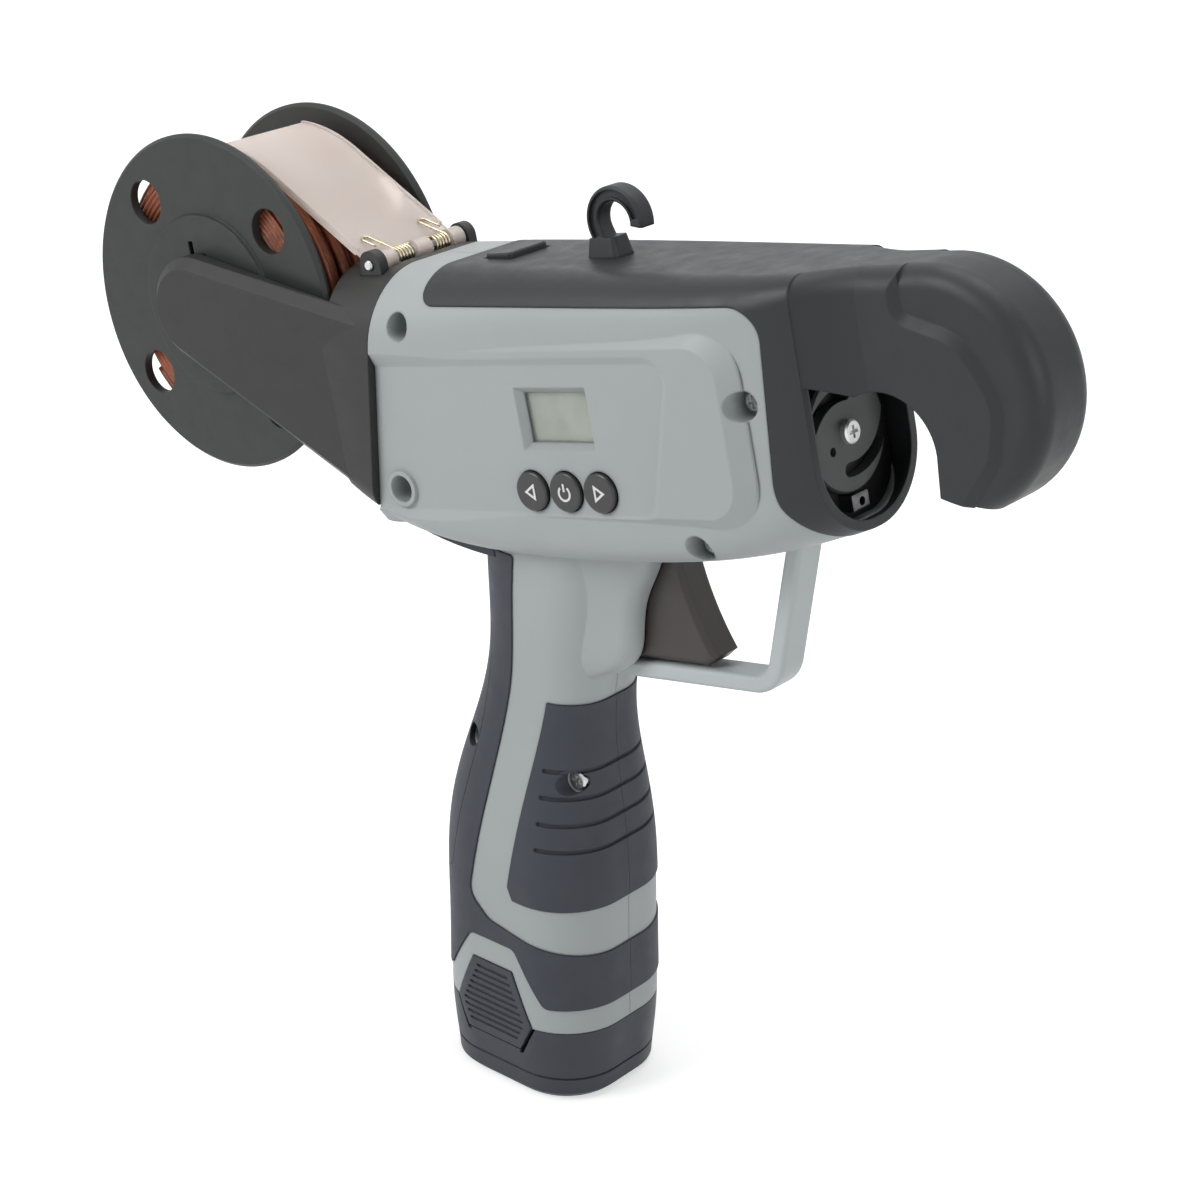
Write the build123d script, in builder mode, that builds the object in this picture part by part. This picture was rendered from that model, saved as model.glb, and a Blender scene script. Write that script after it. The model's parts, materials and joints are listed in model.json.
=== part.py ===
from build123d import *
import os
from math import acos, atan2, cos, degrees, hypot, pi, radians, sin, sqrt

# Electric vine tying tool, in millimetres.
# The origin is the centre of the battery base, +Z runs up the handle, +X points to the nose,
# and -Y is the operator's right, where the display is.
# The barrel is pitched nose-up. Its own plane has its origin on the spool axle: local x runs
# forward along the barrel ("ahead"), local y runs up square to it ("rise"), and the normal is -Y.

# Place of the barrel
axle_back = 109.0
axle_height = 223.0
rake = 13.0

# Barrel sections: half width, top, bottom and shoulder radius at five stations ahead of the axle
rear_station = 50.0
rear_half = 31.2
rear_top = 8.0
rear_bottom = -57.8
rear_shoulder = 22.0
heel_station = 96.0
heel_half = 30.2
heel_top = 6.2
heel_bottom = -73.2
heel_shoulder = 17.0
mid_station = 132.0
mid_half = 29.0
mid_top = 4.2
mid_bottom = -75.2
mid_shoulder = 13.0
front_station = 188.0
front_half = 27.0
front_top = 1.1
front_bottom = -72.6
front_shoulder = 10.0
rim_station = 212.8
rim_half = 21.5
rim_top = 0.2
rim_bottom = -68.8
rim_shoulder = 6.0
keel_radius = 11.0
rim_keel_radius = 20.5
wall = 2.8

# Raised side panel and the recess in it that holds the display
panel_face = 30.0
panel_front = 195.0
panel_top = -12.0
panel_bottom = -62.0
panel_corner = 12.0
panel_slope = 52.0
panel_spread = 2.6
recess_depth = 1.2
recess_front = 175.6
recess_lean = 12.6
recess_top = -18.6
recess_bottom = -59.4
recess_corner = 5.0
recess_ramp = 60.0

# Seam between the shells and the rear fork
seam_back = 38.0
seam_gap = 0.15

# Handle sections: height, forward shift, half depth and half width
base_half_depth = 28.2
base_half_width = 24.0
foot_height = 12.0
foot_half_depth = 29.2
foot_half_width = 24.6
collar_height = 30.0
collar_half_depth = 29.9
collar_half_width = 25.3
hip_height = 60.0
hip_half_depth = 29.6
hip_half_width = 25.1
belly_height = 86.0
belly_half_depth = 28.2
belly_half_width = 23.7
waist_height = 112.0
waist_shift = 1.8
waist_half_depth = 23.0
waist_half_width = 19.3
neck_height = 142.0
neck_shift = 6.6
neck_half_depth = 20.7
neck_half_width = 17.6
flare_height = 168.0
flare_shift = 9.2
flare_half_depth = 22.8
flare_half_width = 19.5
root_height = 188.0
root_shift = 9.4
root_half_depth = 29.6
root_half_width = 24.0
handle_corner_share = 0.78

# Cheeks on both sides of the trigger: height, front and half width
cheek_back = 6.0
cheek_rows = (
    (133.0, 24.0, 15.5, 9.5),
    (140.0, 32.0, 16.8, 10.5),
    (147.0, 39.4, 17.2, 11.2),
    (158.0, 41.0, 18.0, 11.8),
    (168.0, 43.2, 19.0, 12.6),
    (180.0, 47.6, 21.0, 14.6),
    (192.0, 53.0, 23.4, 17.0),
)
cheek_nose_edge = 5.0
cheek_back_edge = 0.8

# Head cover: black top, nose rim and hooked jaw
head_proud = 0.3
head_wall = 2.4
head_gap = 0.15
head_rear = 90.0
head_skirt = -1.9
head_skirt_front = -5.4
head_rear_corner = 5.0
head_front = 205.0
head_lean = 3.8
head_chin = -55.0
head_chin_slope = 0.6
head_front_corner = 9.0
head_chin_corner = 14.0
link_root = 207.0
jaw_ahead = 244.0
jaw_rise = -31.8
jaw_radius = 32.0
jaw_half = 12.0
jaw_tip_angle = -66.5
jaw_tip_inner = 244.2
jaw_tip_inner_rise = -56.8
jaw_ceiling = -27.0
jaw_edge = 6.0
throat_ahead = 229.0
throat_rise = -46.0
throat_radius = 16.0
web_step = 2.0
web_ramp = 51.0
web_edge = 6.5
web_rear = (239.5, -10.7)
web_top = (256.1, -16.3)
web_front = (266.0, -33.4)
web_low = (262.0, -48.9)
web_end = (235.3, -78.4)
web_bend = 4.0
web_curve = 16.0
scoop_end = 241.0
groove_width = 4.0
groove_depth = 2.0
strip_thick = 0.8

# Wire spool
flange_radius = 50.0
spool_width = 50.0
flange_thick = 2.8
flange_bevel = 1.0
flange_hole_radius = 6.65
flange_hole_pitch = 37.2
flange_hole_start = 33.0
flange_holes = 4
boss_radius = 27.0
boss_height = 1.2
boss_slope = 20.0
key_rise = 14.0
key_length = 7.0
key_width = 2.0
hub_radius = 20.0
hub_wall = 3.0
axle_radius = 8.0
axle_fit = 0.08
axle_wall = 2.6
axle_reach = 14.0
wire_diameter = 1.5
wind_radius = 41.0
wire_turns = 20
wire_pitch = 2.1
wire_seat = 0.1
pack_gap = 0.25

# Fork arms
arm_end_radius = 15.5
arm_gap = 1.0
arm_outer = 36.2
arm_outer_seam = 31.2
arm_seam_ahead = 74.0
arm_top_seam = -5.9
arm_bottom_seam = -69.0
arm_thick = 12.0
arm_bevel = 3.0
arm_raise = 1.5
arm_ramp = 60.0
arm_panel_ahead = 2.5
arm_panel_rise = -1.0
arm_panel_radius = 9.5
arm_panel_top = -13.0
arm_panel_bottom = -51.0
fork_wall_ahead = 57.5
spool_clear = 2.5
stub_collar = 11.0
stub_collar_thick = 0.6
stub_spigot = 5.0
stub_spigot_length = 4.0

# Clear flap over the winding, with its hinge
hinge_ahead = 64.6
hinge_rise = 8.2
flap_radius = 44.3
flap_thick = 1.3
flap_half = 17.2
flap_end_angle = 80.0
flap_lip = 0.5
flap_lip_thick = 1.0
flap_drop = 1.5
knuckle_radius = 3.3
knuckle_inside = 11.2
knuckle_outside = 16.0
knuckle_gap = 0.3
lug_inside = 16.4
lug_outside = 19.6
lug_radius = 4.0
lug_clear = 0.9
pin_radius = 1.5
pin_fit = 0.06
bracket_base = 2.4
bracket_length = 9.4
trough_wall = 3.0
spring_radius = 2.75
spring_wire = 0.7
spring_turns = 5
spring_pitch = 1.2
spring_middle = 7.0
spring_room = 4.2
spring_leg = 9.5
spring_leg_dip = 17.45
spring_leg_turn = 1.5
spring_leg_back = 5.0

# Hang hook
hook_ahead = 143.0
hook_rise = 13.4
hook_radius = 7.6
hook_thick = 4.2
hook_width = 6.0
hook_tip_angle = -12.0
hook_stem_angle = 200.0
hook_stem = 7.0
rib_tip_angle = 4.0
hook_rib = 1.1
hook_groove = 1.0
foot_length = 11.0
foot_width = 8.6
foot_proud = 5.0
foot_sink = 2.4
foot_ahead = 137.6
foot_taper = 12.0
hook_seat = 2.0
hook_edge = 0.9

# Top push button
top_button_ahead = 103.0
top_button_length = 10.0
top_button_width = 16.0
top_button_round = 2.0
top_button_flange = 1.0
top_button_flange_thick = 1.2
top_button_seat = 2.2
top_button_face = 7.6
slide_gap = 0.25

# Display, buttons and board
window_ahead = 133.5
window_rise = -33.4
window_length = 27.0
window_height = 18.4
window_ramp = 38.0
lens_sink = 2.4
lens_thick = 1.0
lens_margin = 0.8
lens_room = 0.75
button_radius = 5.5
button_pitch = 12.3
button_ahead = 133.7
button_rise = -53.2
button_proud = 1.4
button_travel = 0.8
button_edge = 0.6
button_flange = 1.2
button_flange_gap = 0.15
board_depth = 20.4
board_thick = 1.6
board_length = 48.0
board_height = 44.0
board_ahead = 132.0
board_rise = -41.0
board_inset = 4.0
post_radius = 2.6
tact_size = 6.0
tact_height = 1.6
tact_gap = 0.2

# Twist drive: rotor in the nose, shaft, bearings, gears and motor
rotor_rise = -44.0
rotor_front = 207.6
rotor_thick = 3.5
rotor_radius = 16.0
rotor_slot_width = 3.8
rotor_slot_mouth = (17.6, 6.4)
rotor_slot_middle = (10.3, -7.2)
rotor_slot_end = (-1.4, -9.8)
rotor_hole_radius = 1.2
rotor_hole_spot = (-7.0, -3.6)
shaft_radius = 4.0
bearing_outer = 11.0
bearing_width = 7.0
fit_gap = 0.05
plate_gap = 0.2
front_plate_ahead = 181.0
motor_plate_ahead = 157.0
nose_plate_thick = 1.4
gear_width = 6.0
gear_ahead = 168.5
gear_teeth = 30
pinion_teeth = 12
gear_module = 1.0
tooth_share = 0.7
mesh_gap = 0.25
motor_radius = 14.0
motor_length = 34.0
motor_shaft_radius = 1.6
motor_clear = 1.0
motor_nose = 5.0
plate_top = 0.0
seal_sink = 0.5
bearing_ring = 2.0
rotor_edge = 0.6
rotor_screw_head = 3.2
rotor_screw_length = 12.0

# Wire feed: rails, motor, gears, rollers and guide tube
rail_inside = 15.4
rail_thick = 2.0
rail_rear = 84.0
rail_mid = 116.0
rail_top = -18.0
rail_low = -72.0
rail_bar_top = -46.0
rail_bar_low = -58.0
feed_ahead = 100.0
feed_rise = -54.0
feed_roller_radius = 8.0
feed_roller_width = 7.0
feed_shaft_radius = 2.5
feed_gear_teeth = 26
feed_pinion_teeth = 13
feed_gear_width = 4.0
feed_gear_gap = 0.6
feed_motor_radius = 10.0
feed_motor_length = 26.0
feed_motor_nose = 4.0
pinch_radius = 6.0
pinch_axle_radius = 2.0
feed_wire_gap = 0.4
tube_radius = 2.0
tube_bore = 1.2
tube_start = 112.0
nozzle_length = 5.0
nozzle_half = 3.4
nozzle_depth = 4.4
inlet_radius = 4.5
inlet_bore = 2.4
inlet_rise = -42.0
inlet_flange = 1.5

# Trigger and its switch, placed in side view by X and Z
trigger_half = 5.5
trigger_gap = 0.6
trigger_pivot_x = 46.0
trigger_pivot_z = 188.0
trigger_eye = 3.6
trigger_pin_radius = 2.0
trigger_pin_boss = 3.6
trigger_pin_half = 14.0
trigger_front_x = 50.4
trigger_front_z = 184.0
trigger_tip_x = 65.6
trigger_tip_z = 153.6
trigger_bottom_x = 62.4
trigger_bottom_z = 150.2
trigger_rear_x = 36.0
trigger_rear_z = 145.2
trigger_sag = 1.7
trigger_edge = 1.4
slot_bottom = 143.6
slot_rear = 15.0
switch_z = 162.0
switch_height = 16.0
switch_half = 5.4
switch_front = 31.9
switch_back = 8.0
switch_flange = 3.0
switch_flange_front = 20.0
slot_front = 54.0
slot_top = 192.0

# Trigger guard strip, in side view
guard_width = 10.6
guard_thick = 5.0
guard_root_z = 139.6
guard_corner_x = 84.5
guard_corner_z = 150.6
guard_top_x = 91.0
guard_top_z = 196.6
guard_bend = 9.0
guard_edge = 1.4

# Overmoulded grips, in side view
grip_depth = 1.4
grip_proud = 0.5
grip_gap = 0.1
grip_top = 128.5
grip_bottom = 65.0
grip_rear_top = 14.0
grip_rear_bottom = 4.5
grip_cut = 4.0
groove_heights = (108.0, 100.0, 92.0, 84.0)
groove_rear = 14.0
groove_height = 1.3
groove_sink = 0.9
spine_top = 4.5
spine_upper = 0.7
spine_upper_z = 132.0
spine_middle = -4.7
spine_middle_z = 96.0
spine_low = -10.6
spine_low_z = 62.0
spine_turn = -3.0
spine_turn_z = 55.4
band_top_z = 45.0
band_low_z = 32.0
arch_half = 8.6
arch_z = 48.6
arch_band = 4.4
grip_crown_z = 172.0
strap_top = 147.0
strap_bottom = 66.0
strap_top_x = -7.6
strap_mid_x = -10.1
strap_low_x = -19.2
strap_hole_radius = 3.2
strap_hole_x = -14.0
strap_hole_z = 110.0

# Pad under the heel of the barrel, behind the handle
belly_half = 19.6
belly_thick = 3.4
belly_front = 6.0

# Battery pack and its side latches
cap_height = 24.0
cap_gap = 0.25
cap_seam = 7.0
cap_seam_width = 0.8
cap_seam_depth = 0.6
cap_edge = 2.0
stick_half_depth = 21.5
stick_half_width = 19.8
stick_corner = 14.0
stick_top = 77.0
stick_wall = 1.4
cell_radius = 9.0
cell_length = 65.0
cell_floor = 6.0
cell_gap = 0.2
cell_cap = 1.2
latch_x = -2.0
latch_low = 15.0
latch_wide = 24.2
latch_high = 40.5
latch_half_low = 10.5
latch_half_wide = 15.0
latch_half_high = 7.6
latch_thick = 2.6
latch_travel = 1.6
latch_gap = 0.35
latch_room = 0.6
latch_proud = 0.3
rib_pitch = 2.15
rib_count = 10
rib_width = 1.0
rib_sink = 0.7
rib_margin = 2.6
rib_start = 18.6
slit_width = 1.3
slit_depth = 1.8
slit_low = 13.6
terminal_z = 81.0
terminal_thick = 4.0
contact_width = 5.0
contact_length = 3.4
contact_pitch = 9.0

# Screws that close the shells, placed in the barrel's own plane, and the one in the grip
shell_screws = ((82.0, -7.2), (70.5, -53.6), (196.8, -30.4), (174.9, -68.4))
grip_screw_x = 21.5
grip_screw_z = 104.5
grip_screw_seat = 11.0
grip_screw_bite = 6.0
screw_fit = 0.05
screw_radius = 1.5
screw_head_radius = 2.8
screw_head_height = 2.0
screw_bore = 3.9
sleeve_wall = 1.2
sleeve_seat = 2.4
screw_seat = 20.0
screw_bite = 8.0
boss_wall = 1.4
driver_width = 0.9
driver_depth = 1.0
driver_length = 3.4

# Worked out from the sizes above
far = 4 * flange_radius
forward = (cos(radians(rake)), 0, sin(radians(rake)))
barrel = Plane(origin=(-axle_back, 0, axle_height), x_dir=forward, z_dir=(0, -1, 0))
recess_floor = panel_face - recess_depth
inner_half = recess_floor - wall
flange_outer = spool_width / 2
flange_inner = flange_outer - flange_thick
arm_inner = flange_outer + boss_height + arm_gap
gear_tip = gear_module * (gear_teeth / 2 + tooth_share)
pinion_tip = gear_module * (pinion_teeth / 2 + tooth_share)
feed_gear_tip = gear_module * (feed_gear_teeth / 2 + tooth_share)
feed_pinion_tip = gear_module * (feed_pinion_teeth / 2 + tooth_share)
motor_rise = rotor_rise + gear_tip + pinion_tip + mesh_gap
feed_motor_rise = feed_rise + feed_gear_tip + feed_pinion_tip + mesh_gap
wire_rise = feed_rise - feed_roller_radius - feed_wire_gap
pinch_rise = wire_rise - feed_wire_gap - pinch_radius
rotor_back = rotor_front - rotor_thick
nose_plate_ahead = rotor_back - 0.3 - nose_plate_thick
rail_outside = rail_inside + rail_thick
feed_gear_inside = rail_outside + feed_gear_gap
trough_floor = hinge_rise - knuckle_radius - knuckle_gap - bracket_base

os.makedirs("parts", exist_ok=True)


def station(ahead):
    """Plane square to the barrel; its local x is +Y and its local y is the rise."""
    return Plane(origin=barrel.from_local_coords((ahead, 0, 0)), x_dir=(0, 1, 0), z_dir=forward)


def barrel_form(inset):
    """Solid of the barrel's outer shape, drawn in by inset."""
    rows = (
        (rear_station, rear_half, rear_top, rear_bottom, rear_shoulder, keel_radius),
        (heel_station, heel_half, heel_top, heel_bottom, heel_shoulder, keel_radius),
        (mid_station, mid_half, mid_top, mid_bottom, mid_shoulder, keel_radius),
        (front_station, front_half, front_top, front_bottom, front_shoulder, keel_radius),
        (rim_station, rim_half, rim_top, rim_bottom, rim_shoulder, rim_keel_radius),
    )
    with BuildPart() as form:
        for ahead, half, top, bottom, shoulder, keel in rows:
            with BuildSketch(station(ahead)) as section:
                with Locations((0, (top + bottom) / 2)):
                    Rectangle(2 * (half - inset), top - bottom - 2 * inset)
                fillet(section.vertices().sort_by(Axis.Y)[:2], keel - inset)
                fillet(section.vertices().sort_by(Axis.Y)[-2:], shoulder - inset)
        loft()
    return form.part


def barrel_cavity(gap):
    """Room inside the barrel, drawn in by gap, no wider than the recessed side walls leave."""
    with BuildPart() as form:
        add(barrel_form(wall + gap))
        with BuildSketch(barrel):
            Rectangle(4 * far, 4 * far)
        extrude(amount=inner_half - gap, both=True, mode=Mode.INTERSECT)
    return form.part


def handle_form(inset, low, high):
    """Solid of the handle's outer shape, drawn in by inset, between two heights."""
    rows = (
        (0, 0, base_half_depth, base_half_width),
        (foot_height, 0, foot_half_depth, foot_half_width),
        (collar_height, 0, collar_half_depth, collar_half_width),
        (hip_height, 0, hip_half_depth, hip_half_width),
        (belly_height, 0, belly_half_depth, belly_half_width),
        (waist_height, waist_shift, waist_half_depth, waist_half_width),
        (neck_height, neck_shift, neck_half_depth, neck_half_width),
        (flare_height, flare_shift, flare_half_depth, flare_half_width),
        (root_height, root_shift, root_half_depth, root_half_width),
    )
    with BuildPart() as form:
        for height, shift, half_depth, half_width in rows:
            corner = handle_corner_share * half_width - inset
            with BuildSketch(Plane.XY.offset(height)):
                with Locations((shift, 0)):
                    RectangleRounded(2 * (half_depth - inset), 2 * (half_width - inset), corner)
        loft()
        with BuildSketch(Plane.XY.offset(low)):
            Rectangle(far, far)
        extrude(amount=high - low, mode=Mode.INTERSECT)
    return form.part


def head_region(gap):
    """Side-view outline of what the head cover takes from the barrel, grown by gap."""
    with BuildPart() as form:
        with BuildSketch(barrel):
            with BuildLine():
                FilletPolyline(
                    (head_rear - gap, rear_top + far),
                    (head_rear - gap, head_skirt - gap),
                    (head_front - gap, head_skirt_front - gap),
                    (head_front - head_lean - gap, head_chin - gap),
                    (head_front - head_lean + head_chin_slope * far - gap, head_chin - gap - far),
                    (rim_station + far, head_chin - gap - far),
                    (rim_station + far, rear_top + far),
                    radius=(1, head_rear_corner, head_front_corner, head_chin_corner, 1, 1, 1),
                    close=True,
                )
            make_face()
        extrude(amount=far, both=True)
    return form.part


def front_grip_outline(gap):
    """Side-view prism of the front grip pads."""
    with BuildPart() as form:
        with BuildSketch(Plane.XZ):
            with BuildLine():
                Polyline(
                    (grip_rear_top, grip_top),
                    (grip_rear_bottom, grip_bottom + grip_cut),
                    (grip_rear_bottom + grip_cut / 2, grip_bottom),
                    (far, grip_bottom),
                    (far, grip_top),
                    close=True,
                )
            make_face()
            offset(amount=-gap, kind=Kind.INTERSECTION)
        extrude(amount=far, both=True)
    return form.part


def rear_grip_outline(gap):
    """Side-view prism of the rear grip and the band below the light collar."""
    with BuildPart() as form:
        with BuildSketch(Plane.XZ):
            with BuildLine():
                FilletPolyline(
                    (spine_top, grip_crown_z),
                    (spine_upper, spine_upper_z),
                    (spine_middle, spine_middle_z),
                    (spine_low, spine_low_z),
                    (spine_turn, spine_turn_z),
                    (2 * base_half_depth, band_top_z),
                    (2 * base_half_depth, band_low_z),
                    (latch_x + latch_half_wide + arch_band, band_low_z),
                    (latch_x + arch_half, arch_z),
                    (latch_x - arch_half, arch_z),
                    (latch_x - latch_half_wide - arch_band, band_low_z),
                    (-2 * base_half_depth, band_low_z),
                    (-2 * base_half_depth, grip_crown_z),
                    radius=(1, 150, 150, 7, 7, 1, 1, 3, 3, 3, 3, 1, 1),
                    close=True,
                )
            make_face()
            offset(amount=-gap, kind=Kind.INTERSECTION)
        extrude(amount=far, both=True)
    return form.part


def strap_outline(gap):
    """Side-view prism of the strap let into the back of the rear grip."""
    with BuildPart() as form:
        with BuildSketch(Plane.XZ):
            with BuildLine():
                FilletPolyline(
                    (strap_top_x, strap_top),
                    (strap_mid_x, waist_height),
                    (strap_low_x, strap_bottom),
                    (-2 * base_half_depth, strap_bottom),
                    (-2 * base_half_depth, strap_top),
                    radius=(1, 150, 4, 1, 1),
                    close=True,
                )
            make_face()
            offset(amount=-gap, kind=Kind.INTERSECTION)
        extrude(amount=far, both=True)
    return form.part


def latch_outline(gap, low):
    """Side-view prism of a battery latch, grown by gap, from the height low."""
    with BuildPart() as form:
        with BuildSketch(Plane.XZ):
            with BuildLine():
                Polyline(
                    (latch_x - latch_half_low, low),
                    (latch_x - latch_half_wide, latch_wide),
                    (latch_x - latch_half_high, latch_high),
                    (latch_x + latch_half_high, latch_high),
                    (latch_x + latch_half_wide, latch_wide),
                    (latch_x + latch_half_low, low),
                    close=True,
                )
            make_face()
            offset(amount=gap, kind=Kind.INTERSECTION)
        extrude(amount=far, both=True)
    return form.part


# Barrel skin with its raised panels and display recess, before it is cut into pieces
with BuildPart() as side_panel:
    with BuildSketch(barrel.offset(inner_half)):
        with Locations(((rear_station + panel_front) / 2, (panel_top + panel_bottom) / 2)):
            RectangleRounded(
                panel_front - rear_station + 2 * panel_spread,
                panel_top - panel_bottom + 2 * panel_spread,
                panel_corner + panel_spread,
            )
    extrude(amount=panel_face - inner_half, taper=panel_slope)

with BuildPart() as side_recess:
    with BuildSketch(barrel.offset(recess_floor)):
        with BuildLine():
            FilletPolyline(
                (0, recess_top),
                (recess_front, recess_top),
                (recess_front - recess_lean, recess_bottom),
                (0, recess_bottom),
                radius=recess_corner,
                close=True,
            )
        make_face()
    extrude(amount=2 * wall, taper=-recess_ramp)


# Forms used more than once
skin_form = barrel_form(0)
room = barrel_cavity(0)
room_fit = barrel_cavity(plate_gap)
grip_room = handle_form(wall, 0, root_height)
grip_room_fit = handle_form(wall + plate_gap, 0, root_height)
pocket_form = handle_form(grip_depth, 0, root_height)
grip_inner = handle_form(grip_depth - grip_gap, 0, root_height)
grip_outer = handle_form(-grip_proud, 0, root_height)
plan = Plane(origin=barrel.origin, x_dir=forward, z_dir=barrel.y_dir)

# Screw bosses across the barrel, and the holes and head recesses in them
with BuildPart() as bosses:
    with BuildSketch(barrel):
        with Locations(*shell_screws):
            Circle(screw_radius + boss_wall)
    extrude(amount=far, both=True)
    with BuildSketch(barrel.offset(screw_seat - 2 * boss_wall)):
        with Locations(*shell_screws):
            Circle(screw_bore + boss_wall)
    extrude(amount=far)
    add(barrel_form(wall / 2), mode=Mode.INTERSECT)

with BuildPart() as screw_holes:
    with BuildSketch(barrel.offset(-screw_bite)):
        with Locations(*shell_screws):
            Circle(screw_radius + screw_fit)
    extrude(amount=far)
    with BuildSketch(barrel.offset(screw_seat)):
        with Locations(*shell_screws):
            Circle(screw_bore)
    extrude(amount=far)
    with BuildSketch(Plane.XZ.offset(-grip_screw_bite)):
        with Locations((grip_screw_x, grip_screw_z)):
            Circle(screw_radius + screw_fit)
    extrude(amount=far)
    with BuildSketch(Plane.XZ.offset(grip_screw_seat)):
        with Locations((grip_screw_x, grip_screw_z)):
            Circle(screw_bore - sleeve_wall / 2)
    extrude(amount=far)

# Lining of the recess in the right grip, and the room for it in the shell
sleeve_start = grip_screw_seat + sleeve_seat
with BuildPart() as sleeve_room:
    with BuildSketch(Plane.XZ.offset(sleeve_start - fit_gap)):
        with Locations((grip_screw_x, grip_screw_z)):
            Circle(screw_bore + sleeve_wall / 2 + fit_gap)
    extrude(amount=far)

with BuildPart() as grip_sleeve:
    with BuildSketch(Plane.XZ.offset(sleeve_start)):
        with Locations((grip_screw_x, grip_screw_z)):
            Circle(screw_bore + sleeve_wall / 2)
    extrude(amount=far)
    add(handle_form(0, 0, root_height), mode=Mode.INTERSECT)

with BuildPart() as grip_boss:
    with BuildSketch(Plane.XZ):
        with Locations((grip_screw_x, grip_screw_z)):
            Circle(screw_bore + boss_wall + sleeve_wall / 2)
    extrude(amount=far, both=True)
    add(handle_form(wall / 2, 0, root_height), mode=Mode.INTERSECT)

# Bosses that carry the trigger pin
with BuildPart() as pin_bosses:
    with BuildSketch(Plane.XZ):
        with Locations((trigger_pivot_x, trigger_pivot_z)):
            Circle(trigger_pin_boss)
            with Locations((0, -trigger_pin_boss / 2)):
                Rectangle(2 * trigger_pin_boss, trigger_pin_boss)
    extrude(amount=trigger_pin_half, both=True)
    add(barrel_form(wall / 2), mode=Mode.INTERSECT)

# Cheeks that stand beside the trigger
with BuildPart() as trigger_cheeks:
    for height, front, cheek_rear_half, cheek_front_half in cheek_rows:
        with BuildSketch(Plane.XY.offset(height)):
            with BuildLine():
                FilletPolyline(
                    (cheek_back, -cheek_rear_half),
                    (front, -cheek_front_half),
                    (front, cheek_front_half),
                    (cheek_back, cheek_rear_half),
                    radius=(cheek_back_edge, cheek_nose_edge, cheek_nose_edge, cheek_back_edge),
                    close=True,
                )
            make_face()
    loft()

# Trigger guard strip, with a little room round it where it enters the shells
with BuildPart() as trigger_guard:
    with BuildSketch(Plane.XZ):
        with BuildLine() as strip:
            FilletPolyline(
                (neck_shift + neck_half_depth - wall / 2, guard_root_z),
                (guard_corner_x, guard_corner_z),
                (guard_top_x, guard_top_z),
                radius=guard_bend,
            )
        trace(strip.line, line_width=guard_thick)
    extrude(amount=guard_width / 2, both=True)
    fillet(trigger_guard.edges().filter_by(Plane.XZ), guard_edge)

with BuildPart() as guard_pocket:
    with BuildSketch(Plane.XZ):
        with BuildLine() as strip:
            FilletPolyline(
                (neck_shift + neck_half_depth - wall / 2 - seam_gap, guard_root_z),
                (guard_corner_x, guard_corner_z),
                (guard_top_x, guard_top_z + seam_gap),
                radius=guard_bend,
            )
        trace(strip.line, line_width=guard_thick + 2 * seam_gap)
    extrude(amount=guard_width / 2 + seam_gap, both=True)

# Both shells in one, before they are parted at the middle
with BuildPart() as casing:
    add(skin_form)
    add(side_panel.part)
    add(side_panel.part.mirror(Plane.XZ))
    add(handle_form(0, cap_height, root_height))
    add(trigger_cheeks.part)
    add(side_recess.part, mode=Mode.SUBTRACT)
    add(side_recess.part.mirror(Plane.XZ), mode=Mode.SUBTRACT)
    add(room, mode=Mode.SUBTRACT)
    add(grip_room, mode=Mode.SUBTRACT)
    add(bosses.part)
    add(grip_boss.part)
    add(pin_bosses.part)
    with BuildSketch(Plane.XZ):
        with Locations(((slot_rear + slot_front) / 2, (slot_bottom + slot_top) / 2)):
            RectangleRounded(slot_front - slot_rear, slot_top - slot_bottom, trigger_gap)
    extrude(amount=trigger_half + trigger_gap, both=True, mode=Mode.SUBTRACT)
    with BuildSketch(Plane.XZ):
        with Locations((trigger_pivot_x, trigger_pivot_z)):
            Circle(trigger_pin_radius + pin_fit)
    extrude(amount=trigger_pin_half - boss_wall, both=True, mode=Mode.SUBTRACT)
    split(bisect_by=Plane.YZ.offset(-seam_back), keep=Keep.TOP)
    add(head_region(head_gap), mode=Mode.SUBTRACT)
    add(guard_pocket.part, mode=Mode.SUBTRACT)
    add(latch_outline(latch_gap, latch_low - cap_height), mode=Mode.SUBTRACT)
    with BuildSketch(barrel.offset(-feed_gear_inside + mesh_gap)):
        with Locations((feed_ahead, feed_rise)):
            Circle(feed_gear_tip + mesh_gap)
    extrude(amount=-feed_gear_width - 2 * mesh_gap, mode=Mode.SUBTRACT)
    add(screw_holes.part, mode=Mode.SUBTRACT)
    add(sleeve_room.part, mode=Mode.SUBTRACT)

# Pockets moulded round the handle for the soft grips
with BuildPart() as grip_pockets:
    add(front_grip_outline(0))
    add(rear_grip_outline(0))
    with BuildSketch(Plane.XY.offset(band_low_z)):
        Rectangle(far, far)
    extrude(amount=grip_crown_z - band_low_z, mode=Mode.INTERSECT)
    add(pocket_form, mode=Mode.SUBTRACT)

with BuildPart() as lanyard_hole:
    with BuildSketch(Plane.XZ):
        with Locations((strap_hole_x, strap_hole_z)):
            Circle(strap_hole_radius)
    extrude(amount=far, both=True)

with BuildPart() as casing_cut:
    add(casing.part)
    add(grip_pockets.part, mode=Mode.SUBTRACT)
    add(lanyard_hole.part, mode=Mode.SUBTRACT)

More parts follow.
